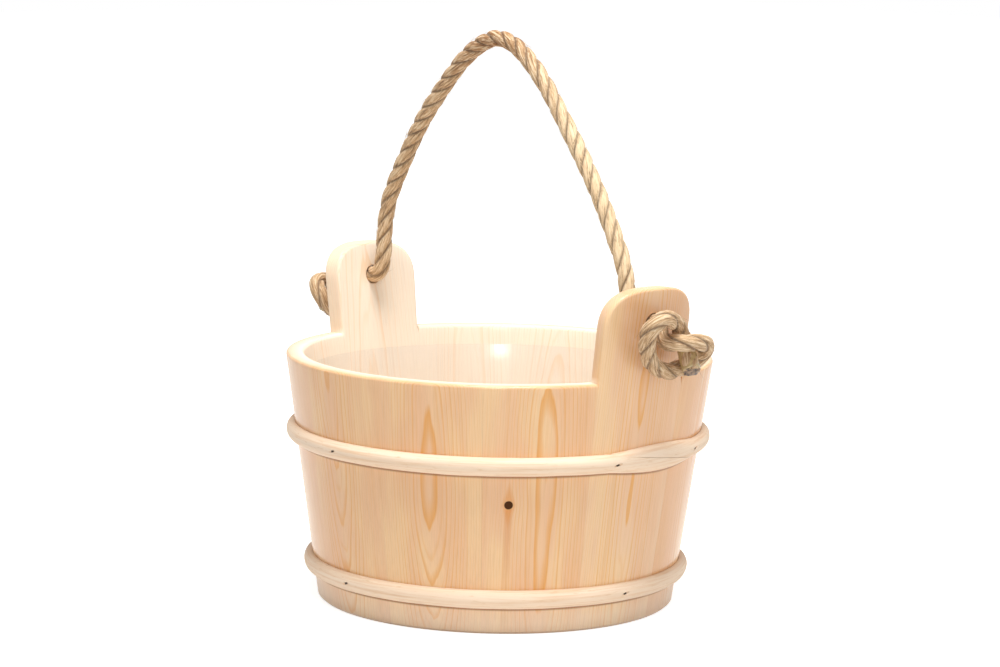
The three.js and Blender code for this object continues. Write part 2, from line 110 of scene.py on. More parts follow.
LEFT_KNOT_ROUTE = [
    (1, 0, -0.1), (5, -1.4, -2.4), (8, -3.4, -6.4), (12, -5, -9.2), (17, -5, -9.8), (21, -2.5, -9.4),
    (23.6, 2, -9.2), (24.2, 7.5, -9.5), (22.6, 13.5, -10.5), (19.2, 18.8, -12.4), (14.6, 21.4, -16.2),
    (10.4, 19.4, -21), (8.4, 14.6, -25.4), (8.4, 7.4, -27.6), (8.4, 0, -28.2), (8.2, -6, -26.6),
    (8.6, -12, -23.4), (9.6, -16.5, -19.2), (11, -19.6, -14.4), (12.8, -21.8, -9.6), (14.6, -23, -5),
    (16.6, -23, -0.8), (18.6, -21.2, 2.6), (19.6, -17.4, 4.8), (19.2, -11.5, 5.6), (17.4, -4.6, 5),
    (14.4, 2.4, 3), (11.4, 8, -0.4), (9.4, 11.4, -4.8), (9.2, 12.2, -9.4), (10.8, 11, -13.6),
    (13.6, 9.2, -17), (17.2, 7.4, -20), (20, 6.2, -23), (21.6, 5.8, -26.2),
]


def outer_radius(height):
    """Outside of the cone of staves at a height."""
    return FOOT_RADIUS + (RIM_RADIUS - FOOT_RADIUS) * height / BODY_HEIGHT


def smooth_route(points, spacing):
    """A centripetal Catmull-Rom curve through the points, as points evenly spaced along it."""
    knots = np.array(points, float)
    knots = np.vstack([2 * knots[0] - knots[1], knots, 2 * knots[-1] - knots[-2]])
    share = np.linspace(0, 1, STEPS_BETWEEN, endpoint=False)[:, None]
    dense = []
    for before, start, end, after in zip(knots, knots[1:], knots[2:], knots[3:]):
        t0, t1, t2 = (math.sqrt(math.dist(a, b)) for a, b in ((before, start), (start, end), (end, after)))
        leave = ((start - before) / t0 - (end - before) / (t0 + t1) + (end - start) / t1) * t1
        arrive = ((end - start) / t1 - (after - start) / (t1 + t2) + (after - end) / t2) * t1
        bend = 3 * (end - start) - 2 * leave - arrive
        ease = 2 * (start - end) + leave + arrive
        dense.append(start + share * leave + share**2 * bend + share**3 * ease)
    dense = np.vstack([*dense, knots[-2:-1]])
    along = np.concatenate([[0], np.cumsum(np.linalg.norm(np.diff(dense, axis=0), axis=1))])
    even = np.linspace(0, along[-1], round(along[-1] / spacing) + 1)
    return np.stack([np.interp(even, along, dense[:, axis]) for axis in range(3)], axis=1)


hole_face = outer_radius(HOLE_HEIGHT)
rope_end = hole_face + KNOT_START
arch_points = [(x * MM, 0, HOLE_HEIGHT + rise * MM) for x, rise in ARCH_ROUTE]
arch_points = [(rope_end, 0, HOLE_HEIGHT), *arch_points, (-rope_end, 0, HOLE_HEIGHT)]
arch_line = smooth_route(arch_points, ROUTE_SPACING)


def knot_line(route):
    """Middle line of a stopper knot, outward from the hole's face, which is its origin."""
    return smooth_route(np.array([(KNOT_START / MM, 0, 0), *route]) * MM, ROUTE_SPACING)


knot_lines = {"right": knot_line(RIGHT_KNOT_ROUTE), "left": knot_line(LEFT_KNOT_ROUTE)}
for name, line in (("arch", arch_line), *knot_lines.items()):
    print("rope,", name, "part:", round((len(line) - 1) * ROUTE_SPACING, 3), "m")

# %% [markdown]
# ## Laying the rope
# Laid rope is three strands twisted to the right, and each strand is a bundle of yarns twisted to the
# left. That is why the yarns on its outside run nearly straight along the rope. The strands press each
# other flat, so the outside is almost a round tube, with three grooves that wind round it. The mesh is
# that tube: its rows of vertices turn with the strands, so that the grooves follow its edges. Every
# vertex also keeps where it lies on its yarn, so that the finish can draw fibres there, and how deep it
# lies in a groove. The legs are paler than the top of the arch, the right one most, so the rows keep that
# too.

# %% Rope strands
STRANDS = 3
SIDES_PER_STRAND = 18
STRAND_GROOVE = 0.25
GROOVE_SHARPNESS = 3.2
ROPE_LAY = 38 * MM
YARN_BACK_TURN = -0.3
STRAND_SHIFT = 0.4
PALENESS_PLACES = (-114 * MM, -60 * MM, -5 * MM, 65 * MM)
PALENESS_LEVELS = (0.6, 0.5, 0.0, 1.0)
KNOT_PALENESS = 0.5
# Each ripple along the rope has a size and a length.
SLOW_TWIST = (0.22, 17 * MM)
QUICK_TWIST = (0.1, 6.3 * MM)
SWELLING = (0.015, 9 * MM)


def carried_frame(line):
    """Two unit vectors square to the line at each point, carried along it without twist."""
    tangents = np.gradient(line, axis=0)
    tangents /= np.linalg.norm(tangents, axis=1)[:, None]
    side = np.array((0.0, 1.0, 0.0))
    sides = []
    for tangent in tangents:
        side = side - tangent * side.dot(tangent)
        side = side / np.linalg.norm(side)
        sides.append(side)
    sides = np.array(sides)
    return sides, np.cross(tangents, sides)


def add_attribute(piece, name, kind, values):
    """Stores a value for each vertex of a piece, for its finish to read."""
    attribute = piece.data.attributes.new(name, kind, "POINT")
    attribute.data.foreach_set("value" if kind == "FLOAT" else "vector", np.ravel(values))


def mesh_piece(name, points, faces):
    mesh = bpy.data.meshes.new(name)
    mesh.from_pydata(points, [], faces)
    mesh.shade_smooth()
    piece = bpy.data.objects.new(name, mesh)
    bpy.context.collection.objects.link(piece)
    return piece


def tube_faces(rows, sides):
    """Faces of a closed tube whose vertices lie in rows, with a flat cap at each end."""
    faces = []
    for row in range(rows - 1):
        here = row * sides
        there = here + sides
        for side in range(sides):
            beside = (side + 1) % sides
            faces.append((here + side, here + beside, there + beside, there + side))
    faces.append(tuple(range(sides - 1, -1, -1)))
    faces.append(tuple(range((rows - 1) * sides, rows * sides)))
    return faces


def ripple(along, size, length):
    """A slight unevenness that comes and goes along the rope."""
    return size * np.sin(along / length)


def set_rope(piece, fibre, crest, paleness):
    """Stores what the rope's finish reads: place on the yarn, height on the strand, and how pale."""
    add_attribute(piece, "fibre", "FLOAT_VECTOR", fibre)
    add_attribute(piece, "crest", "FLOAT", crest)
    add_attribute(piece, "paleness", "FLOAT", paleness)


def lay_rope(name, line, paleness):
    """A tube round a line, with the grooves of its three strands, and how pale each of its rows is."""
    sides, ups = carried_frame(line)
    along = np.arange(len(line)) * ROUTE_SPACING
    wind = 2 * math.pi * along / ROPE_LAY + ripple(along, *SLOW_TWIST) + ripple(along, *QUICK_TWIST)
    count = STRANDS * SIDES_PER_STRAND
    steps = np.arange(count)
    in_strand = np.abs((steps % SIDES_PER_STRAND) / (SIDES_PER_STRAND / 2) - 1)
    crest = 1 - STRAND_GROOVE * in_strand**GROOVE_SHARPNESS
    strand = (steps // SIDES_PER_STRAND) * STRAND_SHIFT
    turned = 2 * math.pi * steps[None, :] / count + wind[:, None]
    radius = ROPE_DIAMETER / 2 * crest[None, :] * (1 + ripple(along, *SWELLING))[:, None]
    sideways = (radius * np.cos(turned))[..., None] * sides[:, None, :]
    upward = (radius * np.sin(turned))[..., None] * ups[:, None, :]
    grid = line[:, None, :] + sideways + upward
    piece = mesh_piece(name, grid.reshape(-1, 3), tube_faces(len(line), count))
    yarn = turned + YARN_BACK_TURN * wind[:, None]
    run = along[:, None] + strand[None, :]
    fibre = np.stack([run, radius * np.cos(yarn), radius * np.sin(yarn)], axis=-1)
    set_rope(piece, fibre / MM, np.broadcast_to(crest, turned.shape), np.repeat(paleness, count))
    return piece


# The legs of the arch are paler than its top, the right one most.
arch_paleness = np.interp(arch_line[:, 0], PALENESS_PLACES, PALENESS_LEVELS)
rope_arch = lay_rope("laid_rope_arch", arch_line, arch_paleness)
knots = {}
for side, line in knot_lines.items():
    knots[side] = lay_rope(f"stopper_knot_{side}", line, np.full(len(line), KNOT_PALENESS))
to_ear = {
    "right": Matrix.Translation((hole_face, 0, HOLE_HEIGHT)),
    "left": Matrix.Translation((-hole_face, 0, HOLE_HEIGHT))
    @ Matrix.Rotation(math.pi, 4, "Z")
    @ Matrix.Rotation(LEFT_KNOT_ROLL, 4, "X"),
}
for side, knot in knots.items():
    knot.data.transform(to_ear[side])
print("rope faces:", [len(piece.data.polygons) for piece in (rope_arch, *knots.values())])

# %% [markdown]
# ## Loose fibres
# Natural rope is never clean: fibres have worked loose all along it and stand off at a slant. Each is a
# thin tube with three sides that ends almost in a point. They are drawn by chance, but with a fixed
# seed, so that they stay the same.

# %% Stray fibres
FIBRE_WIDTH = 0.24 * MM
FIBRE_STEPS = 5
FIBRE_LENGTHS = (4 * MM, 11 * MM)
FIBRE_LIFT = 0.32
FIBRE_SWAY = 0.2
FIBRES_PER_METRE = 700
FIBRE_ROOT = 0.47 * ROPE_DIAMETER
FIBRE_TAPER = 0.8
YARN_RANGE = 60


def stray_fibres(name, line, paleness, seed):
    chance = np.random.default_rng(seed)
    sides, ups = carried_frame(line)
    tangents = np.gradient(line, axis=0) / ROUTE_SPACING
    points, faces, places, pale_levels = [], [], [], []
    for _ in range(round(FIBRES_PER_METRE * len(line) * ROUTE_SPACING)):
        row = chance.integers(len(line))
        turn = chance.uniform(0, 2 * math.pi)
        yarn = chance.uniform(0, YARN_RANGE, 2)
        out = math.cos(turn) * sides[row] + math.sin(turn) * ups[row]
        along = tangents[row] * chance.choice((-1, 1))
        across = np.cross(along, out)
        length = chance.uniform(*FIBRE_LENGTHS)
        lift = chance.uniform(0, FIBRE_LIFT)
        sway = chance.normal(0, FIBRE_SWAY)
        faces += [tuple(len(points) + corner for corner in face) for face in tube_faces(FIBRE_STEPS + 1, 3)]
        for step in range(FIBRE_STEPS + 1):
            share = step / FIBRE_STEPS
            run = length * share
            middle = line[row] + along * run + out * (FIBRE_ROOT + lift * run) + across * sway * run * share
            thin = FIBRE_WIDTH / 2 * (1 - FIBRE_TAPER * share)
            for corner in (0, 2 * math.pi / 3, 4 * math.pi / 3):
                points.append(middle + thin * (math.cos(corner) * out + math.sin(corner) * across))
                places.append((run / MM, *yarn))
                pale_levels.append(paleness[row])
    piece = mesh_piece(name, points, faces)
    set_rope(piece, places, np.ones(len(points)), pale_levels)
    return piece


fibres = {"arch": stray_fibres("stray_fibres_arch", arch_line, arch_paleness, 1)}
for seed, (side, line) in enumerate(knot_lines.items(), start=2):
    fibres[side] = stray_fibres(f"stray_fibres_{side}", line, np.full(len(line), KNOT_PALENESS), seed)
    fibres[side].data.transform(to_ear[side])
print("stray fibre faces:", [len(piece.data.polygons) for piece in fibres.values()])

# %% [markdown]
# ## Modelling helpers
# Most pieces below are modelled as by hand: add a primitive, go into edit mode, select by place, and use
# an operator. An operator acts on all that is selected, so these small helpers first clear the selection.

# %% Helpers
TINY = 1e-6


def clear_selection():
    bpy.ops.object.select_all(action="DESELECT")


def make_active(piece):
    clear_selection()
    piece.select_set(True)
    bpy.context.view_layer.objects.active = piece


def select_all():
    bpy.ops.mesh.select_all(action="SELECT")


def edit(piece):
    make_active(piece)
    bpy.ops.object.mode_set(mode="EDIT")
    bpy.ops.mesh.select_mode(type="EDGE")
    select_all()


def done():
    bpy.ops.object.mode_set(mode="OBJECT")


def pick_edges(piece, wanted):
    """Selects the edges of the piece in edit mode whose two ends pass the test."""
    bpy.ops.mesh.select_all(action="DESELECT")
    mesh = bmesh.from_edit_mesh(piece.data)
    for edge in mesh.edges:
        edge.select_set(wanted(edge.verts[0].co, edge.verts[1].co))
    bmesh.update_edit_mesh(piece.data)


def pick_faces(piece, wanted):
    """Selects the faces of the piece in edit mode that pass the test."""
    bpy.ops.mesh.select_mode(type="FACE")
    bpy.ops.mesh.select_all(action="DESELECT")
    mesh = bmesh.from_edit_mesh(piece.data)
    for face in mesh.faces:
        face.select_set(wanted(face))
    bmesh.update_edit_mesh(piece.data)


def face_outward():
    """Turns all the faces of the piece in edit mode outward."""
    select_all()
    bpy.ops.mesh.normals_make_consistent(inside=False)


def slice_piece(normal, places):
    """Cuts the piece in edit mode into strips with parallel planes, and keeps every strip."""
    for place in places:
        select_all()
        bpy.ops.mesh.bisect(plane_co=[place * n for n in normal], plane_no=normal)


def cut_away(piece, cutter):
    """Takes the cutter's shape out of the piece, and removes the cutter."""
    make_active(piece)
    modifier = piece.modifiers.new("cut", "BOOLEAN")
    modifier.operation = "DIFFERENCE"
    modifier.solver = "EXACT"
    modifier.object = cutter
    bpy.ops.object.modifier_apply(modifier="cut")
    bpy.data.objects.remove(cutter)


def smooth(piece, degrees):
    make_active(piece)
    bpy.ops.object.shade_smooth_by_angle(angle=math.radians(degrees))


print("helpers ready")

# %% [markdown]
# ## A stave
# A stave starts as a flat board: its outline is sawn, its rim and foot are eased, and a groove for the
# bottom, the croze, is ploughed across the inside. Then it is wrapped round the cone. Wrapping a flat
# board keeps the rounded edges even, which bevelling a finished curved stave would not. Across the
# board, one unit is the arc at the rim, so that the wrap is a change from across, depth and height to
# angle, radius and height.

# %% Flat board and wrap
STAVE_COUNT = 12
STAVE_ANGLE = 2 * math.pi / STAVE_COUNT
GLUE_LINE = 0.06 * MM
RIM_ROUND = 1.9 * MM
FOOT_CHAMFER = 1.5 * MM
CROZE_LOW = 13.7 * MM
CROZE_HIGH = 24.3 * MM
CROZE_DEPTH = 4 * MM
STRIPS_ACROSS = 14
STRIPS_UP = 24
half_board = RIM_RADIUS * STAVE_ANGLE / 2 - GLUE_LINE / 2


def saw_board(name, outline):
    """A flat board of the staves' thickness, from an outline of (across, up) points."""
    clear_selection()
    bpy.ops.mesh.primitive_circle_add(vertices=len(outline), fill_type="NGON")
    board = bpy.context.object
    board.name = name
    for vertex, (across, up) in zip(board.data.vertices, outline):
        vertex.co = (across, 0, up)
    edit(board)
    bpy.ops.mesh.extrude_region_move(TRANSFORM_OT_translate={"value": (0, STAVE_THICKNESS, 0)})
    face_outward()
    return board


def ease_level_edges(board, height, offset, segments):
    """Rounds the two long edges of a board's end, in edit mode."""
    def on_end(a, b):
        return abs(a.z - height) < TINY and abs(b.z - height) < TINY and abs(a.y - b.y) < TINY

    pick_edges(board, on_end)
    bpy.ops.mesh.bevel(offset=offset, segments=segments, affect="EDGES")


def plough_croze(board):
    clear_selection()
    bpy.ops.mesh.primitive_cube_add(size=1)
    plane = bpy.context.object
    plane.scale = (1, 2 * CROZE_DEPTH, CROZE_HIGH - CROZE_LOW)
    plane.location = (0, STAVE_THICKNESS, (CROZE_HIGH + CROZE_LOW) / 2)
    cut_away(board, plane)


def wrap_board(board, top):
    """Slices the board into strips and bends it round the cone, outside at angle zero."""
    edit(board)
    slice_piece((1, 0, 0), np.linspace(-half_board, half_board, STRIPS_ACROSS + 1)[1:-1])
    slice_piece((0, 0, 1), np.linspace(0, top, STRIPS_UP + 1)[1:-1])
    done()
    for vertex in board.data.vertices:
        across, depth, up = vertex.co
        radius = outer_radius(up) - depth
        angle = across / RIM_RADIUS
        vertex.co = (radius * math.cos(angle), radius * math.sin(angle), up)


plain_outline = [(-half_board, 0), (half_board, 0), (half_board, BODY_HEIGHT), (-half_board, BODY_HEIGHT)]
plain_stave = saw_board("blank_stave", plain_outline)
ease_level_edges(plain_stave, BODY_HEIGHT, RIM_ROUND, segments=5)
ease_level_edges(plain_stave, 0, FOOT_CHAMFER, segments=1)
done()
plough_croze(plain_stave)
wrap_board(plain_stave, BODY_HEIGHT)
smooth(plain_stave, degrees=35)
print("plain stave:", len(plain_stave.data.polygons), "faces")

# %% [markdown]
# ## An ear stave
# Two staves run on above the rim as ears, at nearly their full width, and close in a rounded top, drawn
# here as part of a superellipse. All the edges of the ear are rounded over. The rounding runs out just
# under the rim, where it leaves a small nick beside the next stave. The rope hole is bored level.

# %% Ear staves
EAR_RISE = 55 * MM
EAR_BASE = 66.4 * MM
EAR_SHOULDER = 67.8 * MM
EAR_ROUND_HEIGHT = 26.8 * MM
EAR_ROUNDNESS = 2.8
EAR_EDGE_ROUND = 2 * MM
EAR_NICK = 1.2 * MM
EAR_POINTS = 15
HOLE_RADIUS = ROPE_DIAMETER / 2 + 0.6 * MM
HOLE_EASE = 0.7 * MM
HOLE_MARGIN = 0.1 * MM
ear_top = BODY_HEIGHT + EAR_RISE
ear_low = BODY_HEIGHT - EAR_NICK


def board_across(width, height):
    """Half of a width on the cone, as a distance across the flat board."""
    return RIM_RADIUS * math.asin(width / 2 / outer_radius(height))


def ear_outline():
    """Points of an ear stave, anticlockwise from the right foot."""
    start = ear_top - EAR_ROUND_HEIGHT
    shoulder = board_across(EAR_SHOULDER, start)
    right = [(half_board, 0), (half_board, ear_low), (board_across(EAR_BASE, BODY_HEIGHT), BODY_HEIGHT)]
    for step in range(EAR_POINTS):
        turn = math.pi / 2 * step / EAR_POINTS
        wide = math.cos(turn) ** (2 / EAR_ROUNDNESS)
        tall = math.sin(turn) ** (2 / EAR_ROUNDNESS)
        right.append((shoulder * wide, start + EAR_ROUND_HEIGHT * tall))
    left = [(-across, up) for across, up in reversed(right)]
    return [*right, (0, ear_top), *left]


def bore_hole(board):
    clear_selection()
    bpy.ops.mesh.primitive_cylinder_add(vertices=40, radius=HOLE_RADIUS, depth=4 * STAVE_THICKNESS)
    bit = bpy.context.object
    bit.rotation_euler = (math.pi / 2, 0, 0)
    bit.location = (0, 0, HOLE_HEIGHT)
    cut_away(board, bit)


def on_hole(a, b):
    reach = [math.hypot(point.x, point.z - HOLE_HEIGHT) for point in (a, b)]
    return max(reach) < HOLE_RADIUS + HOLE_MARGIN and abs(a.y - b.y) < TINY


ear_stave = saw_board("blank_ear_stave", ear_outline())
pick_edges(ear_stave, lambda a, b: min(a.z, b.z) > ear_low - TINY and abs(a.y - b.y) < TINY)
bpy.ops.mesh.bevel(offset=EAR_EDGE_ROUND, segments=5, affect="EDGES")
ease_level_edges(ear_stave, 0, FOOT_CHAMFER, segments=1)
done()
bore_hole(ear_stave)
edit(ear_stave)
pick_edges(ear_stave, on_hole)
bpy.ops.mesh.bevel(offset=HOLE_EASE, segments=3, affect="EDGES")
done()
plough_croze(ear_stave)
wrap_board(ear_stave, ear_top)
smooth(ear_stave, degrees=35)
print("ear stave:", len(ear_stave.data.polygons), "faces")

# %% [markdown]
# ## Setting up the body
# The blank staves are copied round the circle, each copy with its own mesh. Pine shows where in the log
# its board was cut: the rings of the log meet the face as long arches. So each stave keeps, for every
# vertex, where it lies in its own log: how far from the heart, how far to the side, and how far along.
# The finish draws rings from that. The outside is oiled and the inside is left bare, so each vertex also
# keeps how bare it is, with painted light and shade folded in: the bare inside is paler, partly as painted
# light. On the ears only the inward faces stay bare, so their edges take the oiled colour, partly as oil
# and partly as painted shade. The foot and the left ear are made paler as painted light.

# %% Copy the staves round the body
# For each stave: distance of the heart, side shift, height of the arches' middle, bow and lean of the
# log, and tone.
LOGS = {
    "ear_stave_right": (24.0, -1, 128, 0.00006, 0.000, 0.05),
    "stave_01": (40.0, 6, 120, 0.00018, 0.000, 0.9),
    "stave_02": (45.0, -8, 60, 0.00012, 0.004, 0.5),
    "stave_03": (38.0, 5, 95, 0.00020, 0.000, 0.3),
    "stave_04": (40.0, 0, 20, 0.00010, 0.006, 0.45),
    "stave_05": (46.0, -4, 110, 0.00016, 0.002, 0.25),
    "ear_stave_left": (75.0, 9, 60, 0.00006, 0.003, 0.1),
    "stave_07": (34.0, 4, 85, 0.00020, 0.000, 0.4),
    "stave_08": (42.0, -6, 40, 0.00012, 0.004, 0.6),
    "stave_09": (33.0, -5, 175, 0.00016, 0.000, 0.45),
    "stave_10": (30.93, 0.5, 105, 0.00034, 0.000, 0.4),
    "stave_11": (30.47, 6, 87, 0.00022, 0.000, 0.35),
}
KNOT_STAVE = "stave_11"
KNOT_PLACE = (-16, 79)
FAR_AWAY = 999
LOG_SPACING = 400
EAR_EVERY = STAVE_COUNT // 2
OIL_DEPTH = 1.5
# Above this height only inward faces count as bare: partly oil over the ear edges, partly painted shade on
# them.
EAR_OIL_AND_SHADE_START = BODY_HEIGHT / MM + 1
# Painted light: the foot is made paler, fading out between these heights in millimetres.
FOOT_PAINTED_LIGHT_HEIGHTS = (10, 22)
FOOT_PAINTED_LIGHT = 0.4
# Painted light: this stave, the left ear, is made paler by this share.
PALE_STAVE = "ear_stave_left"
PALE_SHARE = 0.55


def copy_piece(source, name, turn):
    make_active(source)
    bpy.ops.object.duplicate()
    piece = bpy.context.object
    piece.name = name
    piece.data.name = name
    piece.data.transform(Matrix.Rotation(turn, 4, "Z"))
    return piece


def vertex_values(piece, name):
    """A vector of every vertex: its place, co, or its normal."""
    values = np.empty(len(piece.data.vertices) * 3)
    piece.data.vertices.foreach_get(name, values)
    return values.reshape(-1, 3)


def vertex_places(piece):
    return vertex_values(piece, "co")


def set_wood(piece, grain, tone, bare_and_painted_light, knot=None):
    """Stores what the pine finish reads: place in the log, tone, how unoiled with painted light and shade,
    and place from the knot.
    """
    count = len(grain)
    if knot is None:
        knot = np.full((count, 3), FAR_AWAY, float)
    add_attribute(piece, "grain", "FLOAT_VECTOR", grain)
    add_attribute(piece, "tone", "FLOAT", np.full(count, tone))
    add_attribute(piece, "bare_and_painted_light", "FLOAT", bare_and_painted_light)
    add_attribute(piece, "knot", "FLOAT_VECTOR", knot)


def bare_and_light_share(piece, node):
    """How unoiled and pale each vertex of a stave is, from 0 to 1, with painted light and painted shade
    folded in.
    """
    x, y, z = vertex_places(piece).T / MM
    from_axis = np.hypot(x, y)
    from_outside = outer_radius(z * MM) / MM - from_axis
    bare_and_painted_light = np.clip((from_outside - OIL_DEPTH) / OIL_DEPTH, 0, 1)
    normal_x, normal_y, _ = vertex_values(piece, "normal").T
    facing_in = np.clip(-(normal_x * x + normal_y * y) / from_axis, 0, 1)
    # Painted shade, partly real oil: above the rim only inward faces stay pale, so the ear edges take the
    # darker oiled colour.
    bare_and_painted_light = np.where(z > EAR_OIL_AND_SHADE_START, bare_and_painted_light * facing_in, bare_and_painted_light)
    # Painted light: the foot is made paler towards the floor.
    bare_and_painted_light = np.maximum(bare_and_painted_light, np.interp(z, FOOT_PAINTED_LIGHT_HEIGHTS, (FOOT_PAINTED_LIGHT, 0)))
    # Painted light: the left ear stave is made paler all over.
    return np.maximum(bare_and_painted_light, PALE_SHARE) if node == PALE_STAVE else bare_and_painted_light


def set_log(piece, node, turn, number):
    """Stores each vertex's place in the log that the stave was cut from, in millimetres."""
    heart, shift, middle, bow, lean, tone = LOGS[node]
    x, y, z = vertex_places(piece).T / MM
    radial = x * math.cos(turn) + y * math.sin(turn)
    across = y * math.cos(turn) - x * math.sin(turn)
    inward = outer_radius(z * MM) / MM - radial
    rise = z - middle
    depth = heart + inward + lean * rise + bow * rise**2
    grain = np.stack([depth, across - shift, z + LOG_SPACING * number], axis=1)
    knot = None
    if node == KNOT_STAVE:
        knot = np.stack([across - KNOT_PLACE[0], z - KNOT_PLACE[1], inward], axis=1)
    set_wood(piece, grain, tone, bare_and_light_share(piece, node), knot)


staves = {}
for number in range(STAVE_COUNT):
    is_ear = number % EAR_EVERY == 0
    side = "right" if number == 0 else "left"
    node = f"ear_stave_{side}" if is_ear else f"stave_{number:02d}"
    turn = number * STAVE_ANGLE
    staves[node] = copy_piece(ear_stave if is_ear else plain_stave, f"pine_{node}", turn)
    set_log(staves[node], node, turn, number)
bpy.data.objects.remove(plain_stave)
bpy.data.objects.remove(ear_stave)
print("staves:", len(staves))

# %% [markdown]
# ## The bottom
# Three boards, glued edge to edge and turned round, sit in the croze. A cylinder is cut by two upright
# planes into boards, and each board's long edges are eased a hair, so that the joints read as fine lines.

# %% Bottom boards
BOTTOM_RAISE = 14 * MM
BOTTOM_THICKNESS = 10 * MM
BOTTOM_RADIUS = 103.1 * MM
BOTTOM_CHAMFER = 1 * MM
BOARD_COUNT = 3
BOARD_GAP = 0.1 * MM
MIDDLE_BOARD = 2
BOARD_HEART = 40
BOARD_HEART_STEP = 8
BOARD_LOG_SPACING = 700
BOARD_TONE_STEP = 0.3
board_pitch = 2 * BOTTOM_RADIUS / BOARD_COUNT


def bottom_board(number):
    clear_selection()
    middle_height = BOTTOM_RAISE + BOTTOM_THICKNESS / 2
    bpy.ops.mesh.primitive_cylinder_add(
        vertices=144, radius=BOTTOM_RADIUS, depth=BOTTOM_THICKNESS, location=(0, 0, middle_height)
    )
    board = bpy.context.object
    board.name = f"pine_bottom_board_{number}"
    bpy.ops.object.transform_apply(location=True, rotation=True, scale=True)
    edit(board)
    low = board_pitch * (number - 1) - BOTTOM_RADIUS + BOARD_GAP / 2
    high = low + board_pitch - BOARD_GAP
    for place, normal in ((low, (0, -1, 0)), (high, (0, 1, 0))):
        select_all()
        bpy.ops.mesh.bisect(plane_co=(0, place, 0), plane_no=normal, use_fill=True, clear_outer=True)
    pick_edges(board, lambda a, b: abs(a.z - b.z) < TINY)
    bpy.ops.mesh.bevel(offset=BOTTOM_CHAMFER / 2, segments=2, affect="EDGES")
    done()
    smooth(board, degrees=35)
    return board


bottom_boards = [bottom_board(number) for number in range(1, BOARD_COUNT + 1)]
for number, board in enumerate(bottom_boards, start=1):
    x, y, z = vertex_places(board).T / MM
    shift = board_pitch / MM * (number - MIDDLE_BOARD)
    depth = BOARD_HEART + BOARD_HEART_STEP * number + z
    grain = np.stack([depth, y - shift, x + BOARD_LOG_SPACING * number], axis=1)
    set_wood(board, grain, BOARD_TONE_STEP * number, np.ones(len(x)))
print("bottom boards:", len(bottom_boards))

# %% [markdown]
# ## The liner
# A thin tub of clear plastic keeps the water off the wood. Its section runs from the middle of the floor
# out, round the corner and up the wall, and comes back down the inside. The wall thins towards the lip in
# a soft curve, which catches the light. Spinning the section gives the tub.

# %% Liner
LINER_TOP = BODY_HEIGHT - 12 * MM
LINER_FLOOR = BOTTOM_RAISE + BOTTOM_THICKNESS + 0.3 * MM
LINER_FIT = 0.6 * MM
LINER_WALL = 1.4 * MM
LINER_CORNER = 9 * MM
LINER_STEPS = 144
CORNER_STEPS = 8
LIP_WALL = 0.5 * MM
LIP_HEIGHT = 14 * MM
LIP_STEPS = 8
WELD_DISTANCE = 1e-5


def liner_radius(height):
    return outer_radius(height) - STAVE_THICKNESS - LINER_FIT


bend_height = LINER_FLOOR + LINER_CORNER
bend_radius = liner_radius(bend_height) - LINER_CORNER


def liner_corner(radius):
    """Points of the round corner between floor and wall, from the floor up."""
    turns = [math.pi / 2 * step / CORNER_STEPS for step in range(CORNER_STEPS + 1)]
    out = [bend_radius + radius * math.sin(turn) for turn in turns]
    up = [bend_height - radius * math.cos(turn) for turn in turns]
    return list(zip(out, up))


def liner_lip():
    """Points of the inside of the wall, up to the thin lip."""
    points = []
    for step in range(LIP_STEPS + 1):
        share = step / LIP_STEPS
        height = LINER_TOP - LIP_HEIGHT * (1 - share)
        points.append((liner_radius(height) - LINER_WALL + (LINER_WALL - LIP_WALL) * share**2, height))
    return points


outside = [(0, LINER_FLOOR), *liner_corner(LINER_CORNER), (liner_radius(LINER_TOP), LINER_TOP)]
inside = [(0, LINER_FLOOR + LINER_WALL), *liner_corner(LINER_CORNER - LINER_WALL), *liner_lip()]
section = [*outside, *reversed(inside)]

clear_selection()
bpy.ops.mesh.primitive_circle_add(vertices=len(section))
liner = bpy.context.object
liner.name = "clear_liner"
for vertex, (radius, height) in zip(liner.data.vertices, section):
    vertex.co = (radius, 0, height)
edit(liner)
pick_edges(liner, lambda a, b: max(a.x, b.x) < TINY)
bpy.ops.mesh.delete(type="EDGE")
select_all()
bpy.ops.mesh.spin(steps=LINER_STEPS, angle=2 * math.pi, center=(0, 0, 0), axis=(0, 0, 1))
select_all()
bpy.ops.mesh.remove_doubles(threshold=WELD_DISTANCE)
face_outward()
done()
smooth(liner, degrees=40)
print("liner:", len(liner.data.polygons), "faces, box", [round(x, 4) for x in liner.dimensions])

# %% [markdown]
# ## The hoops
# Each hoop is a half-round rod, peeled and bent while green. It is longer than the circle, so that its
# two ends pass each other, and small brads pin it. The ends are planed to a long taper and share one
# rounded section, so the seam between them is a fine slanting line. A torus has the right faces for this:
# it is opened at one place, its ends are closed, and every ring of vertices is moved to its place along
# the rod.

# %% Hoops
HOOP_HEIGHT = 11.4 * MM
HOOP_PROUD = 5.7 * MM
HOOP_FIT = 0.15 * MM
LAP_SPAN = 36
LAP_TIP = 0.4 * MM
LAP_SPREAD = 2.6 * MM
LAP_GAP = 0.01 * MM
HOOP_STEPS = 264
HOOP_SIDES = 36
CROWN_SHARE = 0.72
CROWN_FULLNESS = 2.1
SIDE_STEEPNESS = 7
UNEVEN_HEIGHT = 0.15 * MM
UNEVEN_PROUD = 0.2 * MM
# Each ripple of a rod has a size, a number of waves and a share in the seed.
ROD_RIPPLES = ((0.5, 7, 1), (0.3, 17, 2), (0.2, 31, 0))
HOOPS = {
    "upper_hoop": {"height": 102 * MM, "lap": -9, "brads": (-90, -8, 25, 90, 180)},
    "lower_hoop": {"height": 21.5 * MM, "lap": 171, "brads": (-90, 0, 90, 172, 205)},
}


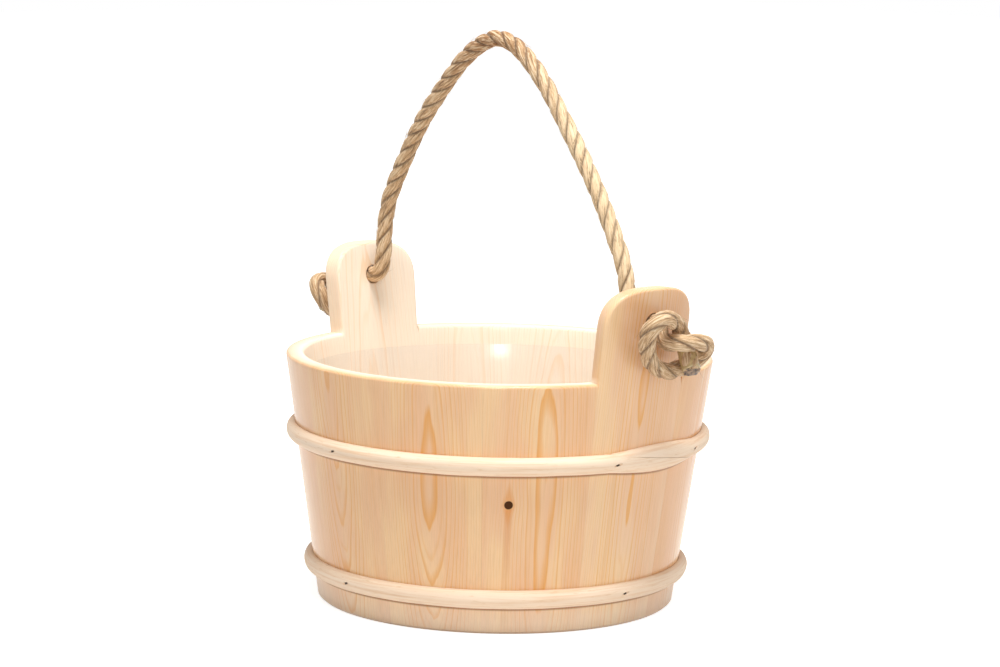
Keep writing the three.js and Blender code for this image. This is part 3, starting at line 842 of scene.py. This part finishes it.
def seam_height(height, share):
    """Height of the slanting seam between the two ends, at a share of the way along the lap."""
    return height + HOOP_HEIGHT / 2 - LAP_TIP - (HOOP_HEIGHT - 2 * LAP_TIP) * share


def lap_swell(share):
    """How far the lap spreads past the rod's edge, at a share of the way along it."""
    return LAP_SPREAD * math.sin(math.pi * min(1, max(0, share)))


def hoop_edges(height, degrees):
    """Lower and upper edge of the rod at a number of degrees past the start of its lap."""
    low = height - HOOP_HEIGHT / 2
    high = height + HOOP_HEIGHT / 2
    from_start = degrees / LAP_SPAN
    from_end = (degrees - 360) / LAP_SPAN
    bottom = max(low, seam_height(height, from_start) + LAP_GAP / 2) - lap_swell(from_end)
    top = min(high, seam_height(height, from_end) - LAP_GAP / 2) + lap_swell(from_start)
    return bottom, top


def unevenness(degrees, seed):
    """A rod is never quite even: a slow ripple between -1 and 1."""
    turn = math.radians(degrees)
    return sum(size * math.sin(waves * turn + start * seed) for size, waves, start in ROD_RIPPLES)


def hoop_point(hoop, degrees, spot, seed):
    """A point of the rod's section: spot runs once round it, with the crown first."""
    bottom, top = hoop_edges(hoop["height"], degrees)
    swell = lap_swell(degrees % 360 / LAP_SPAN)
    whole = HOOP_HEIGHT / 2 + swell + UNEVEN_HEIGHT * unevenness(degrees % 360, seed)
    proud = HOOP_PROUD + UNEVEN_PROUD * unevenness(degrees % 360, seed + 1)

    def crown(z):
        share = min(1, abs(z - hoop["height"]) / whole)
        return proud * (1 - share**CROWN_FULLNESS) ** (1 / CROWN_FULLNESS)

    turn = math.pi * (min(spot, CROWN_SHARE) / CROWN_SHARE - 0.5)
    if spot < CROWN_SHARE:
        z = (bottom + top) / 2 + (top - bottom) / 2 * math.sin(turn)
        out = min(crown(z), SIDE_STEEPNESS * proud * math.cos(turn))
    else:
        z = top - (top - bottom) * (spot - CROWN_SHARE) / (1 - CROWN_SHARE)
        out = 0
    radius = outer_radius(z) + HOOP_FIT + out
    angle = math.radians(hoop["lap"] + degrees)
    return radius * math.cos(angle), radius * math.sin(angle), z


def bend_hoop(name, hoop, seed):
    clear_selection()
    bpy.ops.mesh.primitive_torus_add(
        major_segments=HOOP_STEPS, minor_segments=HOOP_SIDES, major_radius=1, minor_radius=0.25
    )
    rod = bpy.context.object
    rod.name = f"rod_{name}"
    last_step = 2 * math.pi / HOOP_STEPS

    def in_last_step(face):
        middle = face.calc_center_median()
        return -last_step < math.atan2(middle.y, middle.x) < 0

    edit(rod)
    pick_faces(rod, in_last_step)
    bpy.ops.mesh.delete(type="FACE")
    select_all()
    bpy.ops.mesh.fill_holes(sides=0)
    done()
    for vertex in rod.data.vertices:
        x, y, z = vertex.co
        step = round(math.atan2(y, x) / last_step) % HOOP_STEPS
        spot = (math.atan2(z, math.hypot(x, y) - 1) / (2 * math.pi) + CROWN_SHARE / 2) % 1
        vertex.co = hoop_point(hoop, (360 + LAP_SPAN) * step / (HOOP_STEPS - 1), spot, seed)
    edit(rod)
    face_outward()
    done()
    return rod


rods = {name: bend_hoop(name, hoop, seed) for seed, (name, hoop) in enumerate(HOOPS.items(), start=1)}
print("hoops:", {name: len(rod.data.polygons) for name, rod in rods.items()})

# %% [markdown]
# ## The brads
# Small pins are driven through the rods into the staves. Each leaves a short dark slit where the wood has
# split a little round the head. The slit is a shallow pit cut in the rod, and the pin's flat head lies at
# its foot. A cut drops the values that a rod's vertices keep, so the place of each vertex along the rod,
# which the finish needs, is stored after the last cut.

# %% Brads
BRAD_LENGTH = 14 * MM
BRAD_HEAD_RADIUS = 1.1 * MM
BRAD_SHANK_RADIUS = 0.7 * MM
BRAD_HEAD_HEIGHT = 0.8 * MM
BRAD_POINT = 1.8 * MM
BRAD_SUNK = 0.5 * MM
PIT_WIDTH = 3.1 * MM
PIT_HEIGHT = 0.75 * MM
PIT_SLANT = math.radians(14)
FACING_DOWN = -0.9
ROD_SPACING = 0.9


def brad_height(hoop, degrees):
    """Middle of the rod that a brad pins."""
    past = (degrees - hoop["lap"]) % 360
    turned = past + 360 if past < LAP_SPAN / 2 else past
    return sum(hoop_edges(hoop["height"], turned)) / 2


def brad_place(hoop, degrees):
    """Turns and moves a pin that points along +Z out to its place in the rod."""
    z = brad_height(hoop, degrees)
    crest = outer_radius(z) + HOOP_FIT + HOOP_PROUD
    return (
        Matrix.Rotation(math.radians(degrees), 4, "Z")
        @ Matrix.Translation((crest, 0, z))
        @ Matrix.Rotation(math.pi / 2, 4, "Y")
    )


def drive_brad(name, hoop, degrees):
    clear_selection()
    bpy.ops.mesh.primitive_cylinder_add(vertices=16, radius=BRAD_HEAD_RADIUS, depth=BRAD_HEAD_HEIGHT)
    brad = bpy.context.object
    brad.name = name
    edit(brad)
    pick_faces(brad, lambda face: face.normal.z < FACING_DOWN)
    bpy.ops.mesh.inset(thickness=BRAD_HEAD_RADIUS - BRAD_SHANK_RADIUS)
    shank = BRAD_LENGTH - BRAD_HEAD_HEIGHT - BRAD_POINT
    bpy.ops.mesh.extrude_region_move(TRANSFORM_OT_translate={"value": (0, 0, -shank)})
    bpy.ops.mesh.extrude_region_move(TRANSFORM_OT_translate={"value": (0, 0, -BRAD_POINT)})
    bpy.ops.mesh.merge(type="CENTER")
    done()
    sink = Matrix.Translation((0, 0, -BRAD_SUNK - BRAD_HEAD_HEIGHT / 2))
    brad.data.transform(brad_place(hoop, degrees) @ sink)
    smooth(brad, degrees=40)
    return brad


def cut_pit(rod, hoop, degrees):
    clear_selection()
    bpy.ops.mesh.primitive_uv_sphere_add(segments=20, ring_count=12, radius=1)
    pit = bpy.context.object
    slit = Matrix.Rotation(PIT_SLANT, 4, "Z") @ Matrix.Diagonal((PIT_HEIGHT, PIT_WIDTH, 2 * BRAD_SUNK, 1))
    pit.data.transform(brad_place(hoop, degrees) @ slit)
    cut_away(rod, pit)


def set_rod_grain(rod, hoop, seed):
    """Stores how far each vertex stands out, how high and how far along the rod, in millimetres."""
    x, y, z = vertex_places(rod).T
    past = (np.degrees(np.arctan2(y, x)) - hoop["lap"]) % 360
    second_end = (past < LAP_SPAN) & (z < seam_height(hoop["height"], past / LAP_SPAN))
    past = np.where(second_end, past + 360, past)
    out = np.hypot(x, y) - outer_radius(z)
    along = np.radians(past) * outer_radius(hoop["height"]) + ROD_SPACING * seed
    grain = np.stack([out, z - hoop["height"], along], axis=1)
    add_attribute(rod, "grain", "FLOAT_VECTOR", grain / MM)


brads = {}
for seed, (hoop_name, hoop) in enumerate(HOOPS.items(), start=1):
    rod = rods[hoop_name]
    for number, degrees in enumerate(hoop["brads"], start=1):
        node = f"{hoop_name}_brad_{number}"
        brads[node] = drive_brad(f"wire_{node}", hoop, degrees)
        cut_pit(rod, hoop, degrees)
    set_rod_grain(rod, hoop, seed)
    smooth(rod, degrees=50)
print("brads:", len(brads))

# %% [markdown]
# ## The rope's ends
# Each end of the rope is wrapped in a turn of clear yellowish tape and sealed with a flame, so that the
# strands don't open. The wrap is a short sleeve round the last of the knot, and the seal is a small dark
# lump.

# %% Taped ends
TAPE_LENGTH = 15.5 * MM
TAPE_RADIUS = 5.45 * MM
TAPE_EASE = 0.7 * MM
SEAL_RADIUS = 4.9 * MM
SEAL_THICKNESS = 2.2 * MM
TAIL_POINTS = 12
TAPE_STRIPS = 9
TAPE_OVERRUN = 0.3 * MM
TAPE_PULL = 0.035
TAPE_TWIST = 260
TAPE_WRINKLE = 0.012
SEAL_OVERRUN = 0.2 * MM
SEAL_LUMPS = 0.10
SEAL_GRIT = 0.06


def tail_place(line):
    """Where a tail ends, and the turn that lays +Z along it."""
    end = line[-1]
    heading = end - line[-TAIL_POINTS]
    heading = heading / np.linalg.norm(heading)
    side = np.cross(heading, (0, 0, 1))
    side = side / np.linalg.norm(side)
    turn = Matrix(np.stack([side, np.cross(heading, side), heading], axis=1).tolist())
    return Matrix.Translation(end) @ turn.to_4x4()


def tape_wrap(name, tail):
    clear_selection()
    bpy.ops.mesh.primitive_cylinder_add(vertices=32, radius=TAPE_RADIUS, depth=TAPE_LENGTH)
    tape = bpy.context.object
    tape.name = name
    edit(tape)
    pick_edges(tape, lambda a, b: abs(a.z - b.z) < TINY)
    bpy.ops.mesh.bevel(offset=TAPE_EASE, segments=3, affect="EDGES")
    slice_piece((0, 0, 1), np.linspace(-0.4, 0.4, TAPE_STRIPS) * TAPE_LENGTH)
    done()
    for vertex in tape.data.vertices:
        turn = math.atan2(vertex.co.y, vertex.co.x)
        twisted = 3 * turn + TAPE_TWIST * vertex.co.z
        pull = 1 + TAPE_PULL * math.sin(twisted) + TAPE_WRINKLE * math.sin(9 * turn)
        vertex.co = (vertex.co.x * pull, vertex.co.y * pull, vertex.co.z)
    tape.data.transform(tail @ Matrix.Translation((0, 0, -TAPE_LENGTH / 2 + TAPE_OVERRUN)))
    smooth(tape, degrees=40)
    return tape


def burnt_seal(name, tail):
    clear_selection()
    bpy.ops.mesh.primitive_ico_sphere_add(subdivisions=4, radius=1)
    seal = bpy.context.object
    seal.name = name
    for vertex in seal.data.vertices:
        x, y, z = vertex.co
        lump = 1 + SEAL_LUMPS * math.sin(5 * x + 2) * math.sin(6 * y) + SEAL_GRIT * math.sin(11 * y + 7 * z)
        vertex.co = (x * lump * SEAL_RADIUS, y * lump * SEAL_RADIUS, z * lump * SEAL_THICKNESS / 2)
    seal.data.transform(tail @ Matrix.Translation((0, 0, SEAL_OVERRUN)))
    smooth(seal, degrees=60)
    return seal


tails = {side: to_ear[side] @ tail_place(line) for side, line in knot_lines.items()}
tapes = {side: tape_wrap(f"tape_wrap_{side}", tail) for side, tail in tails.items()}
seals = {side: burnt_seal(f"burnt_seal_{side}", tail) for side, tail in tails.items()}
print("taped ends:", list(tapes), "sealed ends:", list(seals))

# %% [markdown]
# ## Building a finish
# A finish is a small network of nodes that ends in one Principled shader. Values that are the same all
# over a surface are set on the shader itself. These helpers keep the networks short: one adds a node and
# plugs in what it is given, and the others wrap the few kinds that come up again and again. A socket knows
# the network that it belongs to, so most helpers need only sockets.

# %% Node helpers
def ink(red, green, blue):
    """A colour as it looks on a screen, 0 to 255, in the linear values that a shader takes."""
    shares = [value / 255 for value in (red, green, blue)]
    return (*[x / 12.92 if x <= 0.04045 else ((x + 0.055) / 1.055) ** 2.4 for x in shares], 1)


def is_socket(value):
    return isinstance(value, bpy.types.NodeSocket)


def add_node(tree, kind, inputs, **settings):
    """Adds a node, makes its settings, and links or sets its inputs."""
    node = tree.nodes.new(kind)
    for name, value in settings.items():
        setattr(node, name, value)
    for name, value in inputs.items():
        if is_socket(value):
            tree.links.new(value, node.inputs[name])
        else:
            node.inputs[name].default_value = value
    return node


def join_node(kind, inputs, **settings):
    """Adds a node to the network that its inputs come from."""
    tree = next(value.id_data for value in inputs.values() if is_socket(value))
    return add_node(tree, kind, inputs, **settings)


def new_finish(name, **values):
    """A material with one Principled shader, whose plain values are set on its sockets."""
    material = bpy.data.materials.new(name)
    material.use_nodes = True
    tree = material.node_tree
    shader = tree.nodes["Principled BSDF"]
    for socket, value in values.items():
        shader.inputs[socket.replace("_", " ")].default_value = value
    return material, tree, shader


def plug(value, node, name):
    """Links a socket to one of a node's inputs."""
    value.id_data.links.new(value, node.inputs[name])


def attribute(tree, name, output):
    return add_node(tree, "ShaderNodeAttribute", {}, attribute_name=name).outputs[output]


def own_place(tree):
    """Where a point lies in its piece."""
    return add_node(tree, "ShaderNodeTexCoord", {}).outputs["Object"]


def calc(operation, first, second=0.0):
    return join_node("ShaderNodeMath", {0: first, 1: second}, operation=operation).outputs[0]


plus, minus, times, over = (partial(calc, name) for name in ("ADD", "SUBTRACT", "MULTIPLY", "DIVIDE"))


def about_zero(value, size):
    """Makes a noise swing to both sides of zero."""
    return times(minus(value, 0.5), size)


def split(vector):
    return join_node("ShaderNodeSeparateXYZ", {0: vector}).outputs


def from_axis(parts):
    """Distance from the Z axis, from the parts of a vector."""
    flat = join_node("ShaderNodeCombineXYZ", {"X": parts["X"], "Y": parts["Y"]}).outputs[0]
    return join_node("ShaderNodeVectorMath", {0: flat}, operation="LENGTH").outputs["Value"]


def scaled(vector, scale):
    return join_node("ShaderNodeVectorMath", {0: vector, 1: scale}, operation="MULTIPLY").outputs[0]


def noise(vector, scale=1.0, detail=2.0, roughness=0.5):
    inputs = {"Vector": vector, "Scale": scale, "Detail": detail, "Roughness": roughness}
    return join_node("ShaderNodeTexNoise", inputs).outputs["Fac"]


def ramp(value, stops):
    """A value between grey levels, from (place, level) stops."""
    node = join_node("ShaderNodeValToRGB", {"Fac": value})
    band = node.color_ramp
    while len(band.elements) < len(stops):
        band.elements.new(0.5)
    for element, (place, level) in zip(band.elements, stops):
        element.position = place
        element.color = (level, level, level, 1)
    return node.outputs["Color"]


def blend(share, first, second, mode="MIX"):
    inputs = {0: share, 6: first, 7: second}
    return join_node("ShaderNodeMix", inputs, data_type="RGBA", blend_type=mode).outputs[2]


def bump(shader, height, distance, strength=1.0):
    node = join_node("ShaderNodeBump", {"Height": height, "Distance": distance, "Strength": strength})
    plug(node.outputs["Normal"], shader, "Normal")


print("node helpers ready")

# %% [markdown]
# ## Pine
# Each year a pine adds a pale band and then a thin orange one. The finish measures how far a point lies
# from the heart of its log, adds a slow wobble and a finer one, and divides by the width of a year: the
# fraction that is left over is where in its year the wood grew. Some years are stronger than others. Fine
# fibres along the log, a few resin streaks and one small dark knot make it a real board. Oil warms the
# outside and lies on it as a thin coat, though not on the dead knot; the bare inside is paler, partly as
# painted light. Along the lower edge of each hoop, a fine dark line on the staves is a painted shadow.

# %% Pine finish
YEAR_WIDTH = 1.25
YEAR_DRIFT = 1.2
YEAR_DRIFT_PACE = 0.31
WEAKEST_YEAR = 0.6
YEAR_BANDS = (
    (0.0, 0.06), (0.32, 0.04), (0.43, 0.42), (0.49, 0.05),
    (0.68, 0.05), (0.86, 0.8), (0.94, 1.0), (1.0, 0.06),
)
LOG_WOBBLE = 1.3
FINE_WOBBLE = 1.1
# How finely each pattern varies: out from the heart, across, and along the log.
SLOW_GRAIN = (0.03, 0.03, 0.011)
QUICK_GRAIN = (0.13, 0.13, 0.016)
FIBRE_GRAIN = (3.2, 3.2, 0.05)
CLOUD_GRAIN = (0.06, 0.06, 0.012)
RESIN_GRAIN = (0.22, 0.3, 0.004)
HALF_STAVE = 34
KNOT_RADIUS = 2.7
KNOT_SWERVE = 14.0
SWERVE_EASE = 6.0
SWERVE_FALL = 1.5
STREAK_WIDTH = 4.0
STREAK_LENGTH = 90.0
STREAK_SWAY = 1.6
FLAME_WIDTH = 5.0
FLAME_SLIMNESS = 0.30
DRY_SHARE = 0.8
OIL_COAT = 0.55
# Height of the painted shadow under each hoop.
HOOP_SHADOW_DEPTH = 4 * MM
INSIDE_BARE = 0.8


def late_share(grain, parts, knot_far):
    """How strongly the late, orange wood of each year shows. The rings swerve round the knot."""
    slow = about_zero(noise(scaled(grain, SLOW_GRAIN), detail=1.5), LOG_WOBBLE)
    quick = about_zero(noise(scaled(grain, QUICK_GRAIN)), FINE_WOBBLE)
    swerve = over(KNOT_SWERVE, plus(calc("POWER", knot_far, SWERVE_FALL), SWERVE_EASE))
    years = over(plus(plus(from_axis(parts), plus(slow, quick)), swerve), YEAR_WIDTH)
    paced = {"W": times(years, YEAR_DRIFT_PACE), "Scale": 1.0}
    drift = join_node("ShaderNodeTexNoise", paced, noise_dimensions="1D").outputs["Fac"]
    years = plus(years, times(drift, YEAR_DRIFT))
    year = {"W": calc("FLOOR", years)}
    strong = join_node("ShaderNodeTexWhiteNoise", year, noise_dimensions="1D").outputs["Value"]
    strong = plus(times(strong, 1 - WEAKEST_YEAR), WEAKEST_YEAR)
    late = ramp(calc("FRACT", years), YEAR_BANDS)
    aside = over(calc("ABSOLUTE", parts["Y"]), HALF_STAVE)
    flat_sawn = ramp(aside, ((0.0, 1.0), (0.38, 1.0), (0.66, 0.5), (1.0, 0.35)))
    return times(times(late, strong), flat_sawn)


def draw_knot(wood, parts, far, fibre):
    """The wood with a small dead knot, its orange flame and a brown streak below, and the knot's share."""
    narrow = calc("ABSOLUTE", plus(parts["X"], about_zero(fibre, STREAK_SWAY)))
    streak = ramp(over(narrow, STREAK_WIDTH), ((0.0, 0.6), (0.2, 1.0), (0.62, 0.0)))
    below = over(times(parts["Y"], -1.0), STREAK_LENGTH)
    reach = ramp(below, ((0.0, 0.0), (0.02, 1.0), (0.35, 0.7), (1.0, 0.0)))
    wood = blend(times(times(streak, reach), 0.6), wood, ink(212, 138, 72))
    tall = calc("ABSOLUTE", times(parts["Y"], FLAME_SLIMNESS))
    flame_far = over(plus(calc("ABSOLUTE", parts["X"]), tall), FLAME_WIDTH)
    flame = ramp(flame_far, ((0.0, 1.0), (0.5, 0.8), (0.95, 0.0)))
    wood = blend(times(flame, 0.7), wood, ink(224, 148, 66))
    share = over(far, KNOT_RADIUS)
    core = ramp(share, ((0.0, 1.0), (0.86, 1.0), (1.0, 0.0)))
    ring = ramp(share, ((0.0, 0.25), (0.62, 0.1), (0.86, 1.0)))
    heartwood = blend(ring, ink(78, 42, 8), ink(44, 20, 0))
    return blend(core, wood, heartwood), core


def painted_hoop_shadow(tree, hoop):
    """A painted shadow: the fine dark line on the staves along a hoop's lower edge, which dips at the lap.
    """
    parts = split(own_place(tree))
    turn = minus(calc("ARCTAN2", parts["Y"], parts["X"]), math.radians(hoop["lap"]))
    past = over(calc("FLOORED_MODULO", turn, 2 * math.pi), math.radians(LAP_SPAN))
    dip = calc("SINE", times(calc("MINIMUM", past, 1.0), math.pi))
    above = plus(parts["Z"], times(dip, LAP_SPREAD))
    low = hoop["height"] - HOOP_HEIGHT / 2
    share = over(minus(above, low - HOOP_SHADOW_DEPTH / 2), HOOP_SHADOW_DEPTH)
    return ramp(share, ((0.0, 0.0), (0.05, 0.0), (0.3, 0.8), (0.6, 0.8), (0.65, 0.0)))


def pine_finish():
    material, tree, shader = new_finish(
        "oiled_pine", Roughness=0.5, Specular_IOR_Level=0.1, Coat_Roughness=0.16
    )
    grain = attribute(tree, "grain", "Vector")
    knot_parts = split(attribute(tree, "knot", "Vector"))
    knot_far = from_axis(knot_parts)
    late = late_share(grain, split(grain), knot_far)
    fibre = noise(scaled(grain, FIBRE_GRAIN), detail=3.0, roughness=0.6)
    cloud = noise(scaled(grain, CLOUD_GRAIN))
    resin = ramp(noise(scaled(grain, RESIN_GRAIN)), ((0.0, 0.0), (0.56, 0.0), (0.72, 1.0)))
    tone = attribute(tree, "tone", "Fac")
    early_wood = blend(tone, ink(241, 202, 163), ink(233, 180, 128))
    rosy = ramp(cloud, ((0.36, 1.0), (0.5, 0.0)))
    golden = ramp(cloud, ((0.5, 0.0), (0.64, 1.0)))
    early_wood = blend(times(rosy, 0.5), early_wood, ink(236, 186, 144))
    early_wood = blend(times(golden, 0.5), early_wood, ink(246, 211, 160))
    late_wood = blend(tone, ink(234, 168, 84), ink(222, 148, 66))
    wood = blend(times(late, 0.95), early_wood, late_wood)
    wood = blend(times(resin, 0.25), wood, ink(226, 164, 98))
    bare_and_painted_light = attribute(tree, "bare_and_painted_light", "Fac")
    # The pale colour is partly unoiled wood and partly painted light, on the inside, the foot and the left
    # ear.
    bare_and_lit_wood = blend(times(late, 0.5), ink(255, 242, 224), ink(250, 212, 164))
    wood = blend(times(bare_and_painted_light, 0.9), wood, bare_and_lit_wood)
    shade = ramp(fibre, ((0.25, 0.90), (0.55, 1.0), (0.8, 1.04)))
    wood = blend(1.0, wood, shade, "MULTIPLY")
    wood, dead = draw_knot(wood, knot_parts, knot_far, fibre)
    outside = calc("LESS_THAN", bare_and_painted_light, INSIDE_BARE)
    # Painted shadow: a fine dark line on the outside of the staves under each hoop.
    for hoop in HOOPS.values():
        wood = blend(times(painted_hoop_shadow(tree, hoop), outside), wood, ink(150, 98, 58))
    oil = minus(OIL_COAT, times(bare_and_painted_light, DRY_SHARE * OIL_COAT))
    plug(times(oil, minus(1.0, dead)), shader, "Coat Weight")
    plug(wood, shader, "Base Color")
    bump(shader, plus(times(fibre, 0.6), times(late, 0.5)), 0.06 * MM, 0.5)
    return material


pine = pine_finish()
print("finish:", pine.name, len(pine.node_tree.nodes), "nodes")

# %% [markdown]
# ## Peeled rod, wire, plastic and rope
# The rods are paler than the staves, with long fibres and faint flecks where bark was. The brads are dark
# wire. The liner is clear and glossy, so most of its look is what it reflects: a low alpha lets the wood
# show through, and a high index of refraction makes up for the reflection that the low alpha takes away.
# The rope's fibres follow its yarns: straw on the crests, brown down in the grooves between strands, where
# dust and shadow gather.

# %% Peeled rod finish
def rod_finish():
    material, tree, shader = new_finish("peeled_rod", Roughness=0.6, Specular_IOR_Level=0.25)
    grain = attribute(tree, "grain", "Vector")
    fibre = noise(scaled(grain, (0.7, 0.7, 0.02)), detail=4.0, roughness=0.65)
    band = noise(scaled(grain, (0.35, 0.35, 0.012)))
    fleck = noise(scaled(grain, (0.8, 0.8, 0.16)))
    wood = blend(band, ink(252, 231, 208), ink(243, 214, 183))
    wood = blend(ramp(fleck, ((0.0, 0.0), (0.62, 0.0), (0.80, 0.6))), wood, ink(220, 180, 132))
    wood = blend(ramp(fibre, ((0.34, 0.5), (0.52, 0.0))), wood, ink(226, 180, 132))
    plug(wood, shader, "Base Color")
    bump(shader, plus(fibre, times(band, 2.0)), 0.25 * MM, 0.4)
    return material


peeled_rod = rod_finish()
print("finish:", peeled_rod.name)

# %% Wire, plastic, tape and seal finishes
def speckled_finish(name, scale, detail, first, second, stops=None, **values):
    """A finish whose colour wanders between two inks, with its shader and its specks."""
    material, tree, shader = new_finish(name, **values)
    specks = noise(own_place(tree), scale=scale, detail=detail)
    share = ramp(specks, stops) if stops else specks
    plug(blend(share, first, second), shader, "Base Color")
    return material, shader, specks


wire, _, _ = speckled_finish(
    "dark_wire", 1800.0, 2.0, ink(52, 42, 36), ink(92, 78, 66), Metallic=0.9, Roughness=0.45
)
plastic, _, _ = speckled_finish(
    "clear_plastic", 14.0, 2.0, ink(252, 218, 188), ink(246, 208, 176),
    Roughness=0.22, Alpha=0.05, IOR=2.6, Specular_IOR_Level=1.0, Coat_Weight=1.0, Coat_Roughness=0.13,
)
tape_yellow, tape_shader, wrinkles = speckled_finish(
    "yellowed_tape", 420.0, 3.0, ink(160, 128, 76), ink(226, 203, 152),
    Roughness=0.22, Coat_Weight=0.5, Coat_Roughness=0.1,
)
bump(tape_shader, wrinkles, 0.5 * MM, 0.6)
burnt, burnt_shader, ash = speckled_finish(
    "burnt_fibre", 520.0, 3.0, ink(38, 32, 28), ink(150, 122, 96), ((0.35, 0.0), (0.6, 1.0)), Roughness=0.5
)
bump(burnt_shader, ash, 0.8 * MM, 0.8)
print("finishes:", [finish.name for finish in (wire, plastic, tape_yellow, burnt)])

# %% Rope finish
def rope_finish():
    material, tree, shader = new_finish("laid_fibre", Roughness=0.72, Sheen_Weight=0.1, Sheen_Roughness=0.5)
    fibre = attribute(tree, "fibre", "Vector")
    hair = noise(scaled(fibre, (0.11, 1.0, 1.0)), detail=4.0, roughness=0.7)
    patch = noise(scaled(fibre, (0.05, 0.2, 0.2)))
    brown = blend(patch, ink(132, 80, 36), ink(188, 134, 74))
    straw = blend(patch, ink(220, 182, 134), ink(244, 217, 176))
    colour = blend(attribute(tree, "paleness", "Fac"), brown, straw)
    pale = ramp(hair, ((0.50, 0.0), (0.57, 0.7), (0.66, 1.0)))
    colour = blend(times(pale, 0.8), colour, ink(252, 229, 192))
    dark = ramp(hair, ((0.34, 1.0), (0.47, 0.0)))
    colour = blend(times(dark, 0.75), colour, ink(96, 58, 30))
    groove = ramp(attribute(tree, "crest", "Fac"), ((0.75, 1.0), (0.86, 0.5), (0.97, 0.0)))
    colour = blend(times(groove, plus(hair, 0.1)), colour, ink(84, 54, 32))
    plug(colour, shader, "Base Color")
    bump(shader, hair, 0.8 * MM)
    return material


rope_fibre = rope_finish()
print("finish:", rope_fibre.name)

# %% [markdown]
# ## Putting the pieces on the frame
# Every new piece rides on the body that carries it, and gets its finish; where it stands for a CAD node,
# that node is hidden. The thin liner casts no shadow, so that the light reaches the wood behind it. The
# arch of the rope leaves the object at one ear and goes back into it at the other.

# %% Dress the frame
def dress(piece, body, node, finish):
    piece.data.materials.clear()
    piece.data.materials.append(finish)
    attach(piece, body)
    if node:
        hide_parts(node)


for node, piece in staves.items():
    dress(piece, "bucket", node, pine)
for number, board in enumerate(bottom_boards, start=1):
    dress(board, "bucket", f"bottom_board_{number}", pine)
for node, rod in rods.items():
    dress(rod, "bucket", node, peeled_rod)
for node, brad in brads.items():
    dress(brad, "bucket", node, wire)
dress(liner, "liner", "liner", plastic)
liner.visible_shadow = False
dress(rope_arch, "handle", "rope_arch", rope_fibre)
for side, knot in knots.items():
    dress(knot, "handle", f"rope_knot_{side}", rope_fibre)
    dress(tapes[side], "handle", None, tape_yellow)
    dress(seals[side], "handle", None, burnt)
for piece in fibres.values():
    dress(piece, "handle", None, rope_fibre)

# %% [markdown]
# ## Stage and light
# The bucket stands on a plain white floor in a white room. Two wide lamps in front, above to the right
# and left, give the form, and one overhead lights the inside. A small lamp near the camera and a round one
# at the same place, which shows only in reflections, leave a bright spot on the liner. The room itself
# fills the shadows.

# %% Stage
FLOOR_SIZE = 12
FLOOR_GREY = (0.67, 0.67, 0.67, 1)
FLOOR_GLOW = 0.76
ROOM_LIGHT = 0.36
WHITE = (1, 1, 1, 1)
AIM_HEIGHT = 0.15
# For each lamp: its turn from the front in degrees, distance, height, size and power.
LAMPS = {
    "right_lamp": (90, 1.6, 0.8, 1.8, 5.5),
    "left_lamp": (18, 1.6, 1.2, 1.8, 1.5),
    "top_lamp": (49, 0.5, 2.1, 0.8, 49),
    "front_lamp": (49, 2.2, 0.91, 0.2, 2.2),
    "glint_lamp": (49, 2.2, 0.91, 0.26, 13),
}


def seen_directly(tree):
    """One for a ray that shows the background: from the camera, mirrored or through glass."""
    rays = add_node(tree, "ShaderNodeLightPath", {}).outputs
    seen = calc("MAXIMUM", rays["Is Camera Ray"], rays["Is Glossy Ray"])
    return calc("MAXIMUM", seen, rays["Is Transmission Ray"])


def add_lamp(name, turn, distance, height, size, power):
    """A square lamp that faces the middle of the bucket."""
    x = distance * math.sin(math.radians(turn))
    y = -distance * math.cos(math.radians(turn))
    bpy.ops.object.light_add(type="AREA", location=(x, y, height))
    lamp = bpy.context.object
    lamp.name = name
    lamp.data.shape = "SQUARE"
    lamp.data.size = size
    lamp.data.energy = power
    aim = Vector((0, 0, AIM_HEIGHT)) - lamp.location
    lamp.rotation_euler = aim.to_track_quat("-Z", "Y").to_euler()
    return lamp


bpy.ops.mesh.primitive_plane_add(size=FLOOR_SIZE)
floor = bpy.context.object
floor.name = "studio_floor"
white_floor, floor_tree, floor_shader = new_finish(
    "white_floor", Roughness=0.9, Base_Color=FLOOR_GREY, Emission_Color=WHITE
)
plug(times(seen_directly(floor_tree), FLOOR_GLOW), floor_shader, "Emission Strength")
floor.data.materials.append(white_floor)

lamps = {name: add_lamp(name, *setting) for name, setting in LAMPS.items()}
lamps["glint_lamp"].data.shape = "DISK"
lamps["glint_lamp"].visible_diffuse = False

world = bpy.data.worlds.new("white_room")
bpy.context.scene.world = world
world.use_nodes = True
room = world.node_tree
background = room.nodes["Background"]
background.inputs["Color"].default_value = WHITE
strength = plus(times(seen_directly(room), 1 - ROOM_LIGHT), ROOM_LIGHT)
plug(strength, background, "Strength")
bpy.context.scene.view_settings.view_transform = "Standard"
print("stage ready, lamps:", list(lamps))
